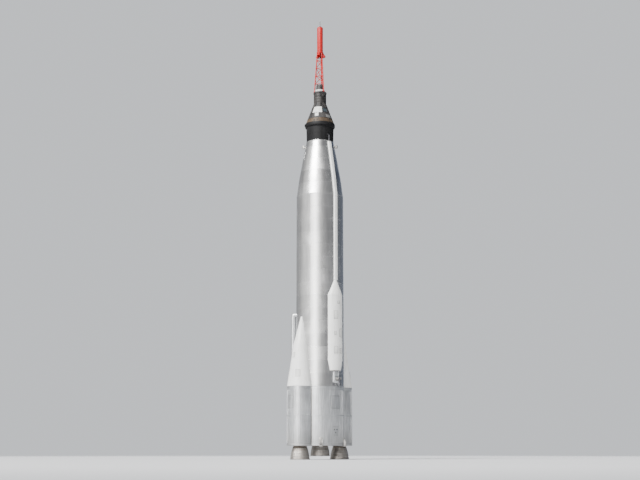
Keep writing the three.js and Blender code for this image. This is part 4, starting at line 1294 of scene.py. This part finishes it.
tank()
for turn, side in ((0, "front"), (180, "rear")):
    pod(turn, f"pod_{side}")
    conduit(turn, f"conduit_{side}")
    vernier_chamber(turn, side)
    vernier_mount(turn, side)
    vernier_yoke(turn, side)
for turn, side in ((0, "right"), (180, "left")):
    nacelle_nose(turn, f"nacelle_nose_{side}")
    nacelle_shell(turn, f"nacelle_shell_{side}")
skirt(0, "skirt_panel_rear")
skirt(180, "skirt_panel_front")
flame_shield()
main_engines()
oxidiser_duct()
vent_valve(-43, "vent_valve_right")
vent_valve(137, "vent_valve_left")
adapter()
clamp_ring()
heat_shield()
capsule()
cabin()
recovery_section()
antenna_canister()
tower()
escape_motor()
spike()
dress_frame_nodes()


# Floor, light and camera

VIEW_AZIMUTH, VIEW_DISTANCE, VIEW_HEIGHT, VIEW_AIM, VIEW_LENS = -40, 72.66, -0.25, 13.2, 64
LIGHT_AIM = 13
FLOOR_FADE = (30, 72)
BACKDROP = (0.45, 0.465, 0.485)
FILL = (0.41, 0.415, 0.425)
# Angle to the right of the camera, seen from the rocket, and the light that comes from there
STUDIO_WALLS = [
    (-180, (0.32, 0.33, 0.35)), (-150, (0.22, 0.225, 0.235)), (-110, (0.34, 0.34, 0.34)),
    (-84, (0.80, 0.80, 0.785)), (-52, (0.90, 0.895, 0.88)), (-36, (1.4, 1.39, 1.36)),
    (-20, (4.2, 4.17, 4.1)), (-8, (1.4, 1.39, 1.36)), (4, (0.60, 0.60, 0.595)),
    (14, (0.37, 0.37, 0.37)), (30, (0.22, 0.22, 0.225)), (62, (0.19, 0.195, 0.20)),
    (85, (0.12, 0.125, 0.135)), (108, (0.05, 0.06, 0.08)), (145, (0.06, 0.075, 0.11)),
    (180, (0.30, 0.31, 0.33)),
]


def plain_floor():
    """A pale disc that fades out, so that no edge or horizon shows from any side."""
    deselect()
    bpy.ops.mesh.primitive_circle_add(vertices=128, radius=FLOOR_FADE[1] + 1, fill_type="NGON",
                                      location=(0, 0, FLOOR_Z - 0.002))
    floor = settle(bpy.context.active_object)
    floor.name = "floor"
    coat = Finish("floor_coat")
    pale = coat.mix(coat.noise(0.05, 2), (0.62, 0.625, 0.635), (0.66, 0.665, 0.675))
    cover = coat.done(Base_Color=pale, Roughness=0.9)
    distance = (coat.x * coat.x + coat.y * coat.y).power(0.5)
    clear = coat.node("ShaderNodeBsdfTransparent")
    faded = coat.node("ShaderNodeMixShader", {}, {
        0: distance.stepped(*FLOOR_FADE), 1: Number(coat, coat.shader.outputs[0]), 2: clear})
    output = next(n for n in coat.tree.nodes if n.type == "OUTPUT_MATERIAL")
    coat.tree.links.new(faded.socket, output.inputs["Surface"])
    floor.data.materials.append(cover)


class Sky(Nodes):
    """Pale to the camera; to the metal, a bright cloth on the left and darker walls on the right."""

    def __init__(self):
        world = bpy.data.worlds.new("studio")
        world.use_nodes = True
        bpy.context.scene.world = world
        self.tree = world.node_tree
        back = next(n for n in self.tree.nodes if n.type == "BACKGROUND")
        here = self.node("ShaderNodeTexCoord", out="Generated")
        turn = {"Vector": here, "Rotation": (0, 0, math.radians(-VIEW_AZIMUTH))}
        x, y, z = self.parts(self.node("ShaderNodeMapping", {}, turn))
        round_share = x.math("ARCTAN2", 0.0 - y) / math.tau + 0.5
        walls = self.node("ShaderNodeValToRGB", {"stops": [
            ((angle + 180) / 360, colour) for angle, colour in STUDIO_WALLS]}, {0: round_share})
        haze = (1.0 - z.stepped(0.2, 0.45)) * 0.06
        above = self.mix(z.stepped(0.6, 0.95), self.mix(haze, walls, (1, 1, 1)), (0.20, 0.205, 0.21))
        seen = self.node("ShaderNodeLightPath", out="Is Camera Ray")
        mirrored = self.node("ShaderNodeLightPath", out="Is Glossy Ray")
        even = self.mix(seen, FILL, BACKDROP)
        self.tree.links.new(self.mix(mirrored, even, above).socket, back.inputs["Color"])
        back.inputs["Strength"].default_value = 1.7


def around(azimuth, distance, height):
    """A place round the rocket; azimuth is to the right of the camera, seen from the rocket."""
    a = math.radians(VIEW_AZIMUTH + azimuth)
    return Vector((math.sin(a) * distance, -math.cos(a) * distance, height))


def set_up(name, data, place, aim):
    """Puts a light or camera at a place, turned to a height on the rocket's axis."""
    thing = bpy.data.objects.new(name, data)
    bpy.context.scene.collection.objects.link(thing)
    thing.location = place
    thing.rotation_euler = (Vector((0, 0, aim)) - place).to_track_quat("-Z", "Y").to_euler()
    return thing


def soft_box(name, azimuth, distance, height, wide, tall, watts, colour):
    """A soft box facing the rocket's middle."""
    data = bpy.data.lights.new(name, "AREA")
    data.shape, data.size, data.size_y, data.energy, data.color = "RECTANGLE", wide, tall, watts, colour
    set_up(name, data, around(azimuth, distance, height), LIGHT_AIM).visible_camera = False


def soft_sun(azimuth, height, spread, strength):
    """An even, wide light over rocket and floor; all angles in degrees."""
    data = bpy.data.lights.new("sun", "SUN")
    data.energy, data.angle = strength, math.radians(spread)
    set_up("sun", data, around(azimuth, 1, math.tan(math.radians(height))), 0)


def camera():
    """The photograph's own place, low down and to the left of the front, with a longer lens."""
    data = bpy.data.cameras.new("camera")
    data.sensor_width, data.lens, data.clip_end = 36, VIEW_LENS, 3000
    bpy.context.scene.camera = set_up("camera", data, around(0, VIEW_DISTANCE, VIEW_HEIGHT), VIEW_AIM)


plain_floor()
Sky()
soft_sun(azimuth=-42, height=42, spread=34, strength=6.5)
soft_box("key", azimuth=-34, distance=75, height=45, wide=34, tall=80, watts=26000, colour=(1.0, 0.98, 0.95))
soft_box("edge", azimuth=168, distance=80, height=30, wide=16, tall=50, watts=2500, colour=(0.85, 0.92, 1.0))
camera()
